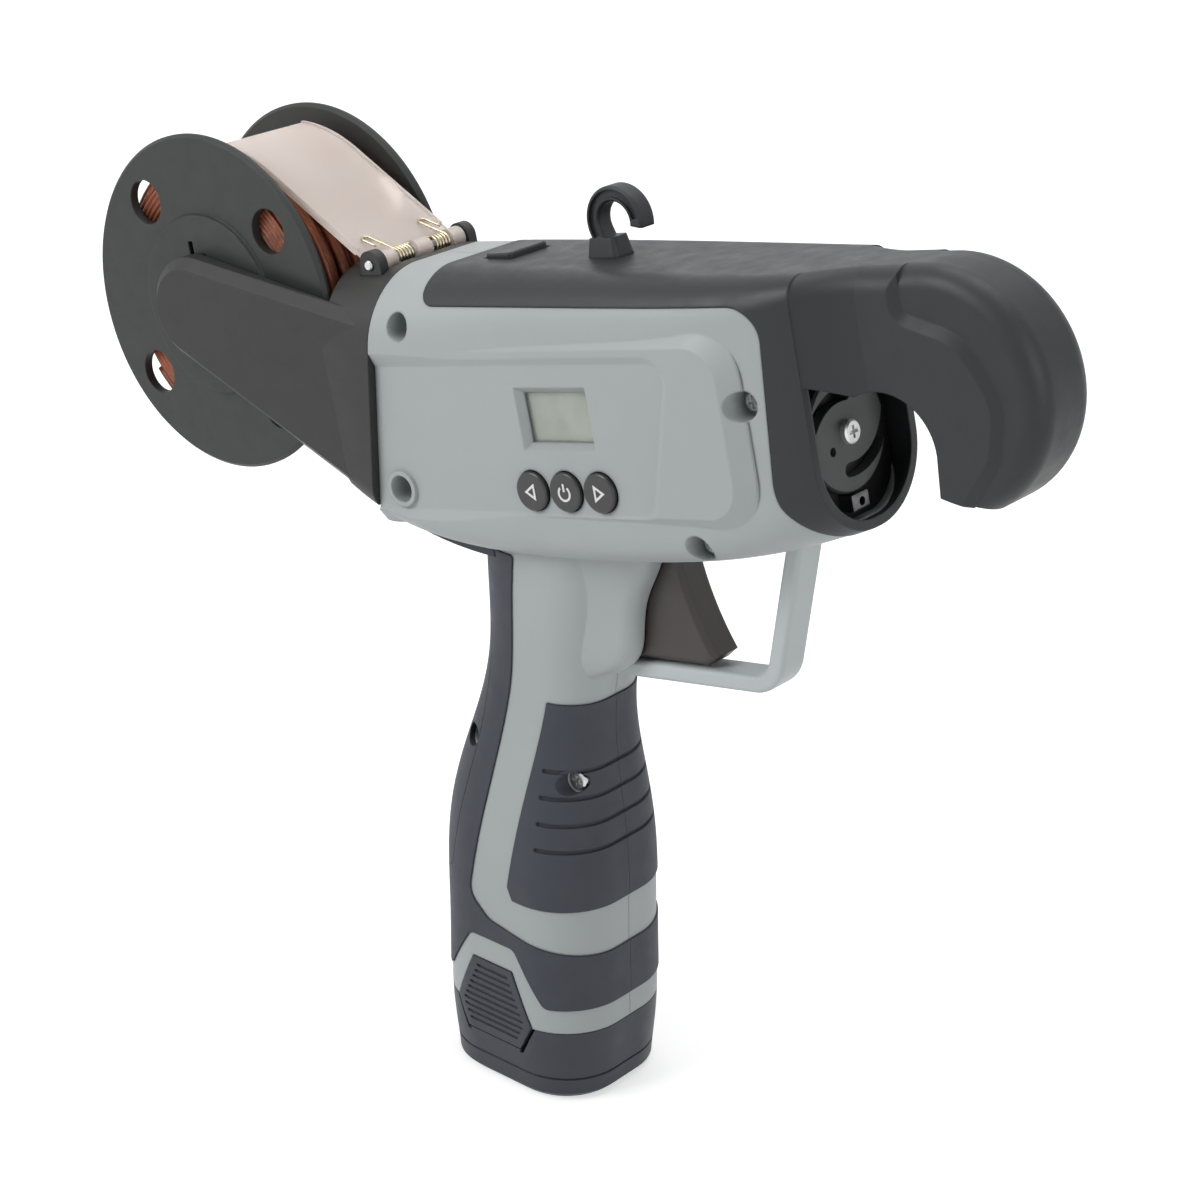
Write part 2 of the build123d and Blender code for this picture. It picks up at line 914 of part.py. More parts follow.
# Right shell: window, button holes and board posts
with BuildPart() as shell_right:
    add(casing_cut.part)
    split(bisect_by=Plane.XZ.offset(seam_gap / 3), keep=Keep.TOP)
    with BuildSketch(barrel.offset(board_depth)):
        with Locations((board_ahead, board_rise)):
            with GridLocations(board_length - 2 * board_inset, board_height - 2 * board_inset, 2, 2):
                Circle(post_radius)
    extrude(amount=inner_half - board_depth)
    with BuildSketch(barrel.offset(recess_floor - lens_sink)):
        with Locations((window_ahead, window_rise)):
            Rectangle(window_length - 2 * lens_sink, window_height - 2 * lens_sink)
    extrude(amount=lens_sink, taper=-window_ramp, mode=Mode.SUBTRACT)
    with BuildSketch(barrel.offset(recess_floor - lens_sink)):
        with Locations((window_ahead, window_rise)):
            Rectangle(window_length + 2 * lens_margin, window_height + 2 * lens_margin)
    extrude(amount=-wall, mode=Mode.SUBTRACT)
    with BuildSketch(barrel.offset(inner_half - wall)):
        with Locations((button_ahead, button_rise)):
            with GridLocations(button_pitch, button_pitch, 3, 1):
                Circle(button_radius + slide_gap)
    extrude(amount=far, mode=Mode.SUBTRACT)
    with BuildSketch(barrel.offset(board_depth)):
        with Locations((button_ahead, button_rise)):
            with GridLocations(button_pitch, button_pitch, 3, 1):
                Circle(button_pitch / 2 + slide_gap)
    extrude(amount=inner_half - board_depth, mode=Mode.SUBTRACT)
shell_right.part.label = "shell_right"
export_step(shell_right.part, "parts/shell_right.step")

# Left shell, plain but for the threaded ends of the screw bosses
with BuildPart() as shell_left:
    add(casing_cut.part)
    split(bisect_by=Plane.XZ.offset(-seam_gap / 3), keep=Keep.BOTTOM)
shell_left.part.label = "shell_left"
export_step(shell_left.part, "parts/shell_left.step")

trigger_guard.part.label = "trigger_guard"
export_step(trigger_guard.part, "parts/trigger_guard.step")

# Soft grips, one on each side of the front, with grooves round them
with BuildPart() as grip_grooves:
    for height in groove_heights:
        with BuildSketch(Plane.XZ):
            with Locations(((groove_rear + far) / 2, height)):
                SlotOverall(far - groove_rear, groove_height)
        extrude(amount=far, both=True)
    add(handle_form(groove_sink - grip_proud, 0, root_height), mode=Mode.SUBTRACT)

with BuildPart() as front_grip:
    add(grip_outer)
    add(grip_inner, mode=Mode.SUBTRACT)
    add(front_grip_outline(grip_gap), mode=Mode.INTERSECT)
    add(grip_grooves.part, mode=Mode.SUBTRACT)
    add(grip_sleeve.part)
    add(screw_holes.part, mode=Mode.SUBTRACT)

with BuildPart() as grip_right:
    add(front_grip.part)
    split(bisect_by=Plane.XZ.offset(seam_gap / 3), keep=Keep.TOP)
grip_right.part.label = "grip_right"
export_step(grip_right.part, "parts/grip_right.step")

with BuildPart() as grip_left:
    add(front_grip.part)
    split(bisect_by=Plane.XZ.offset(-seam_gap / 3), keep=Keep.BOTTOM)
grip_left.part.label = "grip_left"
export_step(grip_left.part, "parts/grip_left.step")

# Soft rear grip with the band under the light collar, and the strap let into its back
with BuildPart() as rear_grip:
    add(grip_outer)
    add(grip_inner, mode=Mode.SUBTRACT)
    add(rear_grip_outline(grip_gap), mode=Mode.INTERSECT)
    add(strap_outline(0), mode=Mode.SUBTRACT)

with BuildPart() as rear_grip_right:
    add(rear_grip.part)
    split(bisect_by=Plane.XZ.offset(seam_gap / 3), keep=Keep.TOP)
rear_grip_right.part.label = "rear_grip_right"
export_step(rear_grip_right.part, "parts/rear_grip_right.step")

with BuildPart() as rear_grip_left:
    add(rear_grip.part)
    split(bisect_by=Plane.XZ.offset(-seam_gap / 3), keep=Keep.BOTTOM)
rear_grip_left.part.label = "rear_grip_left"
export_step(rear_grip_left.part, "parts/rear_grip_left.step")

with BuildPart() as back_strap:
    add(grip_outer)
    add(grip_inner, mode=Mode.SUBTRACT)
    add(strap_outline(grip_gap), mode=Mode.INTERSECT)
    add(lanyard_hole.part, mode=Mode.SUBTRACT)
back_strap.part.label = "back_strap"
export_step(back_strap.part, "parts/back_strap.step")

# Soft pad under the heel of the barrel
with BuildPart() as belly_pad:
    add(barrel_form(-belly_thick))
    with BuildSketch(Plane.XZ):
        with Locations((-seam_back + seam_gap, 0)):
            Rectangle(seam_back + belly_front, axle_height, align=(Align.MIN, Align.MIN))
    extrude(amount=belly_half, both=True, mode=Mode.INTERSECT)
    with BuildSketch(barrel):
        Rectangle(4 * far, far, align=(Align.CENTER, Align.MAX))
    extrude(amount=far, both=True, mode=Mode.INTERSECT)
    add(barrel_form(-fit_gap), mode=Mode.SUBTRACT)
    add(handle_form(-grip_proud - fit_gap, 0, root_height), mode=Mode.SUBTRACT)
belly_pad.part.label = "belly_pad"
export_step(belly_pad.part, "parts/belly_pad.step")

# Head cover: top skin, nose rim, and the hooked jaw
tip_ahead = jaw_ahead + jaw_radius * cos(radians(jaw_tip_angle))
tip_rise = jaw_rise + jaw_radius * sin(radians(jaw_tip_angle))
throat_front = (throat_ahead + throat_radius, throat_rise)
throat_top = (throat_ahead, throat_rise + throat_radius)
throat_rear = (
    throat_ahead + throat_radius * cos(radians(110)),
    throat_rise + throat_radius * sin(radians(110)),
)
jaw_crown = (jaw_ahead, jaw_rise + jaw_radius)
jaw_front = (jaw_ahead + jaw_radius, jaw_rise)
jaw_root = rim_station - head_proud

with BuildPart() as jaw:
    with BuildSketch(barrel):
        with BuildLine():
            Polyline((jaw_root, jaw_ceiling), (jaw_root, rim_top + head_proud), jaw_crown)
            ThreePointArc(jaw_crown, jaw_front, (tip_ahead, tip_rise))
            Polyline((tip_ahead, tip_rise), (jaw_tip_inner, jaw_tip_inner_rise), throat_front)
            ThreePointArc(throat_front, throat_top, throat_rear)
            Line(throat_rear, (jaw_root, jaw_ceiling))
        make_face()
    extrude(amount=far, both=True)
    with BuildSketch(plan):
        with BuildLine():
            TangentArc((scoop_end, jaw_half), (jaw_root, rim_half), tangent=(-1, 0))
            Line((jaw_root, rim_half), (jaw_root, -rim_half))
            TangentArc((scoop_end, -jaw_half), (jaw_root, -rim_half), tangent=(-1, 0))
            Polyline(
                (scoop_end, jaw_half),
                (far + jaw_ahead, jaw_half),
                (far + jaw_ahead, -jaw_half),
                (scoop_end, -jaw_half),
            )
        make_face()
    extrude(amount=far, both=True, mode=Mode.INTERSECT)
    top_face = jaw.faces().sort_by(Axis(barrel.origin, barrel.y_dir))[-1]
    fillet([edge for edge in top_face.edges() if abs(edge.center().Y) > jaw_half / 2], jaw_edge)
    with BuildSketch(barrel):
        Polygon(
            (link_root, jaw_ceiling),
            (link_root, rim_top - head_wall),
            (jaw_root + head_proud, rim_top - head_wall),
            (jaw_root + head_proud, jaw_ceiling),
            align=None,
        )
    extrude(amount=rim_half - head_wall + 2 * head_proud, both=True)

# Raised web inside the jaw's bend, sloping down to the band round the outside
def web_outline():
    """Line of the web's foot, closed behind the jaw's root."""
    FilletPolyline(
        (jaw_root, far),
        (web_rear[0], far),
        web_rear,
        web_top,
        web_front,
        web_low,
        web_end,
        (jaw_root, web_end[1]),
        radius=(web_bend, web_bend, web_bend, web_curve, web_curve, web_curve, web_bend, web_bend),
        close=True,
    )


with BuildPart() as web_form:
    with BuildSketch(barrel):
        with BuildLine():
            web_outline()
        make_face()
    extrude(amount=jaw_half, both=True)
    for side in (-1, 1):
        with BuildSketch(barrel.offset(side * jaw_half)):
            with BuildLine():
                web_outline()
            make_face()
        extrude(amount=side * (web_step + fit_gap), taper=web_ramp)

with BuildPart() as jaw_web:
    with BuildSketch(barrel):
        with BuildLine():
            Polyline((jaw_root, jaw_ceiling), (jaw_root, rim_top + head_proud), jaw_crown)
            ThreePointArc(jaw_crown, jaw_front, (tip_ahead, tip_rise))
            Polyline((tip_ahead, tip_rise), (jaw_tip_inner, jaw_tip_inner_rise), throat_front)
            ThreePointArc(throat_front, throat_top, throat_rear)
            Line(throat_rear, (jaw_root, jaw_ceiling))
        make_face()
    extrude(amount=jaw_half + web_step, both=True)
    outer_face = jaw_web.faces().filter_by(GeomType.CYLINDER).sort_by(SortBy.AREA)[-1]
    fillet([edge for edge in outer_face.edges() if abs(edge.center().Y) > jaw_half / 2], web_edge)
    add(web_form.part, mode=Mode.INTERSECT)

with BuildPart() as throat_groove:
    with BuildSketch(barrel):
        with Locations((throat_ahead, throat_rise)):
            Circle(throat_radius + groove_depth)
    extrude(amount=groove_width / 2, both=True)
    with BuildSketch(barrel):
        with Locations((throat_ahead, throat_rise)):
            Rectangle(2 * far, 2 * far, align=(Align.MIN, Align.MIN))
    extrude(amount=far, both=True, mode=Mode.INTERSECT)

with BuildPart() as head_cover:
    add(barrel_form(-head_proud))
    add(head_region(0), mode=Mode.INTERSECT)
    add(barrel_form(head_wall), mode=Mode.SUBTRACT)
    add(jaw.part)
    add(jaw_web.part)
    add(throat_groove.part, mode=Mode.SUBTRACT)
    with BuildSketch(barrel):
        with Locations((top_button_ahead, mid_top)):
            Rectangle(top_button_length + 2 * slide_gap, far)
    extrude(amount=top_button_width / 2 + slide_gap, both=True, mode=Mode.SUBTRACT)
    with BuildSketch(plan.offset(hook_seat)):
        with Locations((foot_ahead, 0)):
            RectangleRounded(foot_length + 2 * fit_gap, foot_width + 2 * fit_gap, foot_width / 4)
    extrude(amount=far, mode=Mode.SUBTRACT)
head_cover.part.label = "head_cover"
export_step(head_cover.part, "parts/head_cover.step")

# Steel strip in the jaw that turns the wire round
with BuildPart() as jaw_wire_guide:
    with BuildSketch(barrel):
        with Locations((throat_ahead, throat_rise)):
            Circle(throat_radius + groove_depth - fit_gap)
            Circle(throat_radius + groove_depth - strip_thick, mode=Mode.SUBTRACT)
            Rectangle(2 * far, 2 * far, align=(Align.MIN, Align.MIN), mode=Mode.INTERSECT)
    extrude(amount=groove_width / 2 - fit_gap, both=True)
jaw_wire_guide.part.label = "jaw_wire_guide"
export_step(jaw_wire_guide.part, "parts/jaw_wire_guide.step")

# Hang hook on the top, grooved on both sides
hook_sweep = hook_stem_angle - hook_tip_angle
rib_sweep = hook_stem_angle - rib_tip_angle
with BuildPart() as hang_hook:
    with BuildLine(barrel) as hook_line:
        hook_arc = CenterArc((hook_ahead, hook_rise), hook_radius, hook_tip_angle, hook_sweep)
        PolarLine(hook_arc @ 1, hook_stem, direction=hook_arc % 1)
    with BuildSketch(Plane(origin=hook_line.line @ 0, x_dir=(0, 1, 0), z_dir=hook_line.line % 0)):
        RectangleRounded(hook_width, hook_thick, hook_edge)
    sweep(path=hook_line.line)
    with BuildSketch(barrel.offset(hook_width / 2 - hook_groove)):
        with BuildLine() as rib_line:
            rib_arc = CenterArc((hook_ahead, hook_rise), hook_radius, rib_tip_angle, rib_sweep)
            PolarLine(rib_arc @ 1, hook_rib, direction=rib_arc % 1)
        trace(rib_line.line, line_width=hook_thick - 2 * hook_rib)
    extrude(amount=far, mode=Mode.SUBTRACT)
    with BuildSketch(barrel.offset(-hook_width / 2 + hook_groove)):
        with BuildLine() as rib_line:
            rib_arc = CenterArc((hook_ahead, hook_rise), hook_radius, rib_tip_angle, rib_sweep)
            PolarLine(rib_arc @ 1, hook_rib, direction=rib_arc % 1)
        trace(rib_line.line, line_width=hook_thick - 2 * hook_rib)
    extrude(amount=-far, mode=Mode.SUBTRACT)
    with BuildSketch(plan.offset(hook_seat)):
        with Locations((foot_ahead, 0)):
            RectangleRounded(foot_length, foot_width, foot_width / 4)
    extrude(amount=foot_sink)
    with BuildSketch(plan.offset(hook_seat + foot_sink)):
        with Locations((foot_ahead, 0)):
            RectangleRounded(foot_length, foot_width, foot_width / 4)
    extrude(amount=foot_proud, taper=foot_taper)
hang_hook.part.label = "hang_hook"
export_step(hang_hook.part, "parts/hang_hook.step")

# Push button on the top, kept in by a flange under the skin
with BuildPart() as top_button:
    with BuildSketch(plan.offset(top_button_seat)):
        with Locations((top_button_ahead, 0)):
            RectangleRounded(top_button_length, top_button_width, top_button_round)
    extrude(amount=top_button_face - top_button_seat)
    fillet(top_button.faces().sort_by(Axis(barrel.origin, barrel.y_dir))[-1].edges(), button_edge)
    with BuildSketch(plan.offset(top_button_seat)):
        with Locations((top_button_ahead, 0)):
            Rectangle(top_button_length + 2 * top_button_flange, top_button_width + 2 * top_button_flange)
    extrude(amount=-top_button_flange_thick)
top_button.part.label = "top_button"
export_step(top_button.part, "parts/top_button.step")

# Display window and the panel behind it
with BuildPart() as display_window:
    with BuildSketch(barrel.offset(recess_floor - lens_sink - fit_gap)):
        with Locations((window_ahead, window_rise)):
            Rectangle(window_length + 2 * lens_room, window_height + 2 * lens_room)
    extrude(amount=-lens_thick)
display_window.part.label = "display_window"
export_step(display_window.part, "parts/display_window.step")

lcd_face = recess_floor - lens_sink - fit_gap - lens_thick - plate_gap
with BuildPart() as lcd_module:
    with BuildSketch(barrel.offset(lcd_face)):
        with Locations((window_ahead, window_rise)):
            Rectangle(window_length, window_height)
    extrude(amount=board_depth + fit_gap - lcd_face)
lcd_module.part.label = "lcd_module"
export_step(lcd_module.part, "parts/lcd_module.step")

# Control board on its posts, with the switches under the buttons
with BuildPart() as control_board:
    with BuildSketch(barrel.offset(board_depth - fit_gap)):
        with Locations((board_ahead, board_rise)):
            RectangleRounded(board_length, board_height, board_inset / 2)
    extrude(amount=-board_thick)
    with BuildSketch(barrel.offset(board_depth - board_thick - fit_gap)):
        with Locations((board_ahead - board_length / 4, board_rise)):
            Rectangle(board_length / 5, board_length / 5)
    extrude(amount=-board_thick / 2)
    with BuildSketch(barrel.offset(board_depth - fit_gap)):
        with Locations((button_ahead, button_rise)):
            with GridLocations(button_pitch, button_pitch, 3, 1):
                Rectangle(tact_size, tact_size)
    extrude(amount=tact_height + fit_gap)
    with BuildSketch(barrel.offset(board_depth + tact_height)):
        with Locations((button_ahead, button_rise)):
            with GridLocations(button_pitch, button_pitch, 3, 1):
                Circle(tact_size / 4)
    extrude(amount=tact_gap)
control_board.part.label = "control_board"
export_step(control_board.part, "parts/control_board.step")

def push_button(ahead):
    """Round push button with the flange that keeps it in its hole."""
    tail = board_depth + tact_height + 2 * tact_gap + button_travel
    with BuildPart() as form:
        with BuildSketch(barrel.offset(recess_floor + button_proud)):
            with Locations((ahead, button_rise)):
                Circle(button_radius)
        extrude(amount=-button_proud - wall - plate_gap)
        fillet(form.faces().sort_by(Axis.Y)[0].edges(), button_edge)
        with BuildSketch(barrel.offset(inner_half - plate_gap)):
            with Locations((ahead, button_rise)):
                Circle(button_pitch / 2 - button_flange_gap)
        extrude(amount=-button_flange)
        with BuildSketch(barrel.offset(inner_half - plate_gap)):
            with Locations((ahead, button_rise)):
                Circle(tact_size / 3)
        extrude(amount=tail - inner_half + plate_gap)
    return form.part


with BuildPart() as button_left:
    add(push_button(button_ahead - button_pitch))
button_left.part.label = "button_left"
export_step(button_left.part, "parts/button_left.step")

with BuildPart() as button_power:
    add(push_button(button_ahead))
button_power.part.label = "button_power"
export_step(button_power.part, "parts/button_power.step")

with BuildPart() as button_right:
    add(push_button(button_ahead + button_pitch))
button_right.part.label = "button_right"
export_step(button_right.part, "parts/button_right.step")


def cross_screw(place, length, head):
    """Cross-recess screw; place is the head's seat, with its normal out of the head."""
    with BuildPart() as form:
        with BuildSketch(place):
            Circle(head)
        extrude(amount=screw_head_height)
        chamfer(form.edges().group_by(Axis(place.origin, place.z_dir))[-1], screw_head_height / 4)
        with BuildSketch(place):
            Circle(screw_radius)
        extrude(amount=-length)
        with BuildSketch(place.offset(screw_head_height)):
            Rectangle(driver_length, driver_width)
            Rectangle(driver_width, driver_length)
        extrude(amount=-driver_depth, mode=Mode.SUBTRACT)
    return form.part


with BuildPart() as housing_screws:
    for ahead, rise in shell_screws:
        seat_spot = barrel.from_local_coords((ahead, rise, screw_seat))
        seat = Plane(origin=seat_spot, x_dir=forward, z_dir=(0, -1, 0))
        add(cross_screw(seat, screw_seat + screw_bite - fit_gap, screw_head_radius))
housing_screws.part.label = "housing_screws"
export_step(housing_screws.part, "parts/housing_screws.step")

with BuildPart() as grip_screw:
    seat = Plane(origin=(grip_screw_x, -grip_screw_seat, grip_screw_z), x_dir=(1, 0, 0), z_dir=(0, -1, 0))
    add(cross_screw(seat, grip_screw_seat + grip_screw_bite - fit_gap, screw_head_radius))
grip_screw.part.label = "grip_screw"
export_step(grip_screw.part, "parts/grip_screw.step")

# Spool: two flanges with half hubs, and the axle stubs they turn on
axle_side = Plane(origin=barrel.origin, x_dir=forward, z_dir=(0, -1, 0))
with BuildPart() as spool_flange_right:
    with BuildSketch(axle_side.offset(flange_inner)):
        Circle(flange_radius)
        with PolarLocations(flange_hole_pitch, flange_holes, start_angle=flange_hole_start):
            Circle(flange_hole_radius, mode=Mode.SUBTRACT)
    extrude(amount=flange_thick)
    chamfer(spool_flange_right.edges().filter_by(GeomType.CIRCLE).sort_by(SortBy.RADIUS)[-2:], flange_bevel)
    with BuildSketch(axle_side.offset(flange_outer)):
        Circle(boss_radius)
    extrude(amount=boss_height, taper=boss_slope)
    with BuildSketch(axle_side.offset(flange_outer + boss_height)):
        with Locations((0, key_rise)):
            Rectangle(key_length, key_width)
        with Locations((-key_length / 2 + key_width / 2, key_rise + key_width)):
            Rectangle(key_width, 3 * key_width)
    extrude(amount=-2 * boss_height, mode=Mode.SUBTRACT)
    with BuildSketch(axle_side.offset(fit_gap)):
        Circle(hub_radius)
        Circle(hub_radius - hub_wall, mode=Mode.SUBTRACT)
    extrude(amount=flange_inner - fit_gap)
    with BuildSketch(axle_side):
        Circle(axle_radius + axle_fit)
    extrude(amount=far, mode=Mode.SUBTRACT)
spool_flange_right.part.label = "spool_flange_right"
export_step(spool_flange_right.part, "parts/spool_flange_right.step")

with BuildPart() as spool_flange_left:
    add(spool_flange_right.part.mirror(Plane.XZ))
spool_flange_left.part.label = "spool_flange_left"
export_step(spool_flange_left.part, "parts/spool_flange_left.step")

with BuildPart() as axle_stub:
    with BuildSketch(axle_side.offset(arm_inner - axle_reach)):
        Circle(axle_radius)
        Circle(axle_radius - axle_wall, mode=Mode.SUBTRACT)
    extrude(amount=axle_reach - stub_collar_thick)
    with BuildSketch(axle_side.offset(arm_inner)):
        Circle(stub_collar)
    extrude(amount=-stub_collar_thick)
    with BuildSketch(axle_side.offset(arm_inner)):
        Circle(stub_spigot)
    extrude(amount=stub_spigot_length)

with BuildPart() as axle_stubs:
    add(axle_stub.part)
    add(axle_stub.part.mirror(Plane.XZ))
axle_stubs.part.label = "axle_stubs"
export_step(axle_stubs.part, "parts/axle_stubs.step")


def biarc_joint(p0, t0, p1, t1):
    """Point where two tangent arcs from p0 to p1 meet, and the direction there."""
    chord = p1 - p0
    lean = t0 + t1
    a = 2 * (1 - t0.dot(t1))
    b = 2 * chord.dot(lean)
    c = -chord.dot(chord)
    reach = (-b + sqrt(b * b - 4 * a * c)) / (2 * a)
    first = p0 + t0 * reach
    second = p1 - t1 * reach
    return (first + second) * 0.5, (second - first).normalized()


def coil_point(middle, radius, pitch, turn):
    """Point and direction on a coil about an axle along Y; turn counts from its middle."""
    angle = 2 * pi * turn
    ahead = middle[0] + radius * cos(angle)
    rise = middle[1] + radius * sin(angle)
    point = Vector(*barrel.from_local_coords((ahead, rise, middle[2] + pitch * turn)))
    along = Vector(-radius * sin(angle), radius * cos(angle), pitch / (2 * pi)).normalized()
    tip_spot = (ahead + along.X, rise + along.Y, middle[2] + pitch * turn + along.Z)
    tip = Vector(*barrel.from_local_coords(tip_spot))
    return point, (tip - point).normalized()


def coil_arcs(middle, radius, pitch, first, last, pieces):
    """Lays a coil of tangent arcs in the open line builder, and returns its two ends."""
    for step in range(pieces):
        p0, t0 = coil_point(middle, radius, pitch, first + (last - first) * step / pieces)
        p1, t1 = coil_point(middle, radius, pitch, first + (last - first) * (step + 1) / pieces)
        joint, lean = biarc_joint(p0, t0, p1, t1)
        TangentArc(p0, joint, tangent=t0)
        TangentArc(joint, p1, tangent=lean)


def least_gap(line, turns, thick):
    """Least gap between one turn of a coil and the turns after it, from points on its line."""
    count = 24 * turns
    points = [line @ (k / count) for k in range(count + 1)]
    least = far
    for k in range(count + 1):
        for other in range(k + 14, count + 1):
            least = min(least, (points[k] - points[other]).length)
    return least - thick


# Wire on the spool: the inner layers as one core, and the outer layer with its turns
wind_line = wind_radius - wire_diameter / 2
core_radius = wind_radius - wire_diameter - wire_seat
with BuildPart() as wire_pack:
    with BuildSketch(axle_side):
        Circle(core_radius)
        Circle(hub_radius + wire_seat, mode=Mode.SUBTRACT)
    extrude(amount=flange_inner - pack_gap, both=True)
wire_pack.part.label = "wire_pack"
export_step(wire_pack.part, "parts/wire_pack.step")

half_turns = wire_turns / 2
with BuildPart() as wire_outer_layer:
    with BuildLine() as winding:
        start, start_along = coil_point((0, 0, 0), wind_line, wire_pitch, -half_turns)
        end, end_along = coil_point((0, 0, 0), wind_line, wire_pitch, half_turns)
        Line(start - start_along * wire_diameter, start)
        coil_arcs((0, 0, 0), wind_line, wire_pitch, -half_turns, half_turns, 2 * wire_turns)
        Line(end, end + end_along * wire_diameter)
    with BuildSketch(Plane(origin=start - start_along * wire_diameter, z_dir=start_along)):
        Circle(wire_diameter / 2)
    sweep(path=winding.wire())
wire_outer_layer.part.label = "wire_outer_layer"
export_step(wire_outer_layer.part, "parts/wire_outer_layer.step")
print("least gap between turns of the winding", least_gap(winding.wire(), wire_turns, wire_diameter))

# Clear flap over the winding, with knuckles round the hinge pin
flap_root = (hinge_ahead - flap_drop / 2, hinge_rise - flap_drop)
hinge_reach = hypot(flap_root[0], flap_root[1])
flap_middle = flap_radius + flap_thick / 2
touch_angle = degrees(atan2(flap_root[1], flap_root[0]) + acos(flap_middle / hinge_reach))
touch = (flap_middle * cos(radians(touch_angle)), flap_middle * sin(radians(touch_angle)))
flap_lean = touch_angle + 90.0
flap_straight = hinge_reach * sin(acos(flap_middle / hinge_reach)) - 2 * lug_radius
with BuildPart() as cover_flap:
    with BuildSketch(barrel):
        with BuildLine() as flap_line:
            Line(flap_root, touch)
            CenterArc((0, 0), flap_middle, touch_angle, flap_end_angle - touch_angle)
        trace(flap_line.line, line_width=flap_thick)
    extrude(amount=flap_half, both=True)
    with BuildSketch(barrel.offset(flap_half - flap_lip_thick)):
        with BuildLine() as lip_line:
            PolarLine(touch, -flap_straight, angle=flap_lean)
            CenterArc((0, 0), flap_middle, touch_angle, flap_end_angle - touch_angle)
        trace(lip_line.line, line_width=flap_thick + 2 * flap_lip)
    extrude(amount=flap_lip_thick)
    with BuildSketch(barrel.offset(-flap_half)):
        with BuildLine() as lip_line:
            PolarLine(touch, -flap_straight, angle=flap_lean)
            CenterArc((0, 0), flap_middle, touch_angle, flap_end_angle - touch_angle)
        trace(lip_line.line, line_width=flap_thick + 2 * flap_lip)
    extrude(amount=flap_lip_thick)
    with BuildSketch(barrel):
        with Locations((hinge_ahead, hinge_rise)):
            Circle(knuckle_radius)
    extrude(amount=knuckle_outside, both=True)
    for side in (-1, 1):
        with BuildSketch(barrel.offset(side * spring_middle)):
            with Locations((hinge_ahead, hinge_rise)):
                Circle(spring_room)
        extrude(amount=knuckle_inside - spring_middle, both=True, mode=Mode.SUBTRACT)
        with BuildSketch(barrel.offset(side * knuckle_outside)):
            with Locations((hinge_ahead, hinge_rise)):
                Circle(lug_radius + lug_clear)
        extrude(amount=side * far, mode=Mode.SUBTRACT)
    with BuildSketch(barrel):
        with Locations((hinge_ahead, hinge_rise)):
            Circle(pin_radius + pin_fit)
    extrude(amount=far, both=True, mode=Mode.SUBTRACT)
cover_flap.part.label = "cover_flap"
export_step(cover_flap.part, "parts/cover_flap.step")

# Hinge bracket in its trough, and the pin
with BuildPart() as hinge_bracket:
    with BuildSketch(barrel):
        with Locations((hinge_ahead, trough_floor + bracket_base / 2)):
            Rectangle(bracket_length, bracket_base)
    extrude(amount=lug_outside, both=True)
    for side in (-1, 1):
        with BuildSketch(barrel.offset(side * lug_inside)):
            with Locations((hinge_ahead, hinge_rise)):
                Circle(lug_radius)
            with Locations((hinge_ahead, (trough_floor + hinge_rise) / 2)):
                Rectangle(2 * lug_radius, hinge_rise - trough_floor)
        extrude(amount=side * (lug_outside - lug_inside))
    with BuildSketch(barrel):
        with Locations((hinge_ahead, hinge_rise)):
            Circle(pin_radius + pin_fit)
    extrude(amount=far, both=True, mode=Mode.SUBTRACT)
hinge_bracket.part.label = "hinge_bracket"
export_step(hinge_bracket.part, "parts/hinge_bracket.step")

with BuildPart() as hinge_pin:
    with BuildSketch(barrel):
        with Locations((hinge_ahead, hinge_rise)):
            Circle(pin_radius)
    extrude(amount=lug_outside + lug_clear, both=True)
    chamfer(hinge_pin.edges().filter_by(GeomType.CIRCLE), pin_radius / 4)
hinge_pin.part.label = "hinge_pin"
export_step(hinge_pin.part, "parts/hinge_pin.step")


def flap_spring(side):
    """Coil round the hinge pin with a hairpin leg that lies on the flap."""
    leg_lean = flap_lean + spring_leg_dip
    last = (leg_lean - 90.0) / 360.0
    first = last - spring_turns
    shift = side * spring_middle - side * spring_pitch * (first + last) / 2
    middle = (hinge_ahead, hinge_rise, shift)
    with BuildPart() as form:
        with BuildLine() as coil:
            p0, t0 = coil_point(middle, spring_radius, side * spring_pitch, first)
            p1, t1 = coil_point(middle, spring_radius, side * spring_pitch, last)
            Line(p0 - t0 * spring_wire, p0)
            coil_arcs(middle, spring_radius, side * spring_pitch, first, last, 4 * spring_turns)
            leg = Line(p1, p1 + t1 * spring_leg)
            turn_end = leg @ 1 + Vector(0, side * 2 * spring_leg_turn, 0)
            bend = TangentArc(leg @ 1, turn_end, tangent=t1)
            Line(bend @ 1, bend @ 1 + (bend % 1) * spring_leg_back)
        with BuildSketch(Plane(origin=p0 - t0 * spring_wire, z_dir=t0)):
            Circle(spring_wire / 2)
        sweep(path=coil.wire())
    return form.part


with BuildPart() as flap_springs:
    add(flap_spring(1))
    add(flap_spring(-1))
flap_springs.part.label = "flap_springs"
export_step(flap_springs.part, "parts/flap_springs.step")


def arm_outline(middle, radius, top, bottom):
    """Sketch of a fork arm, or of its raised middle, from its round end to the seam."""
    with BuildSketch() as form:
        with BuildLine():
            CenterArc(middle, radius, 0, 360)
            Polyline((arm_seam_ahead, top), (arm_seam_ahead, bottom))
        make_hull()
    return form.sketch


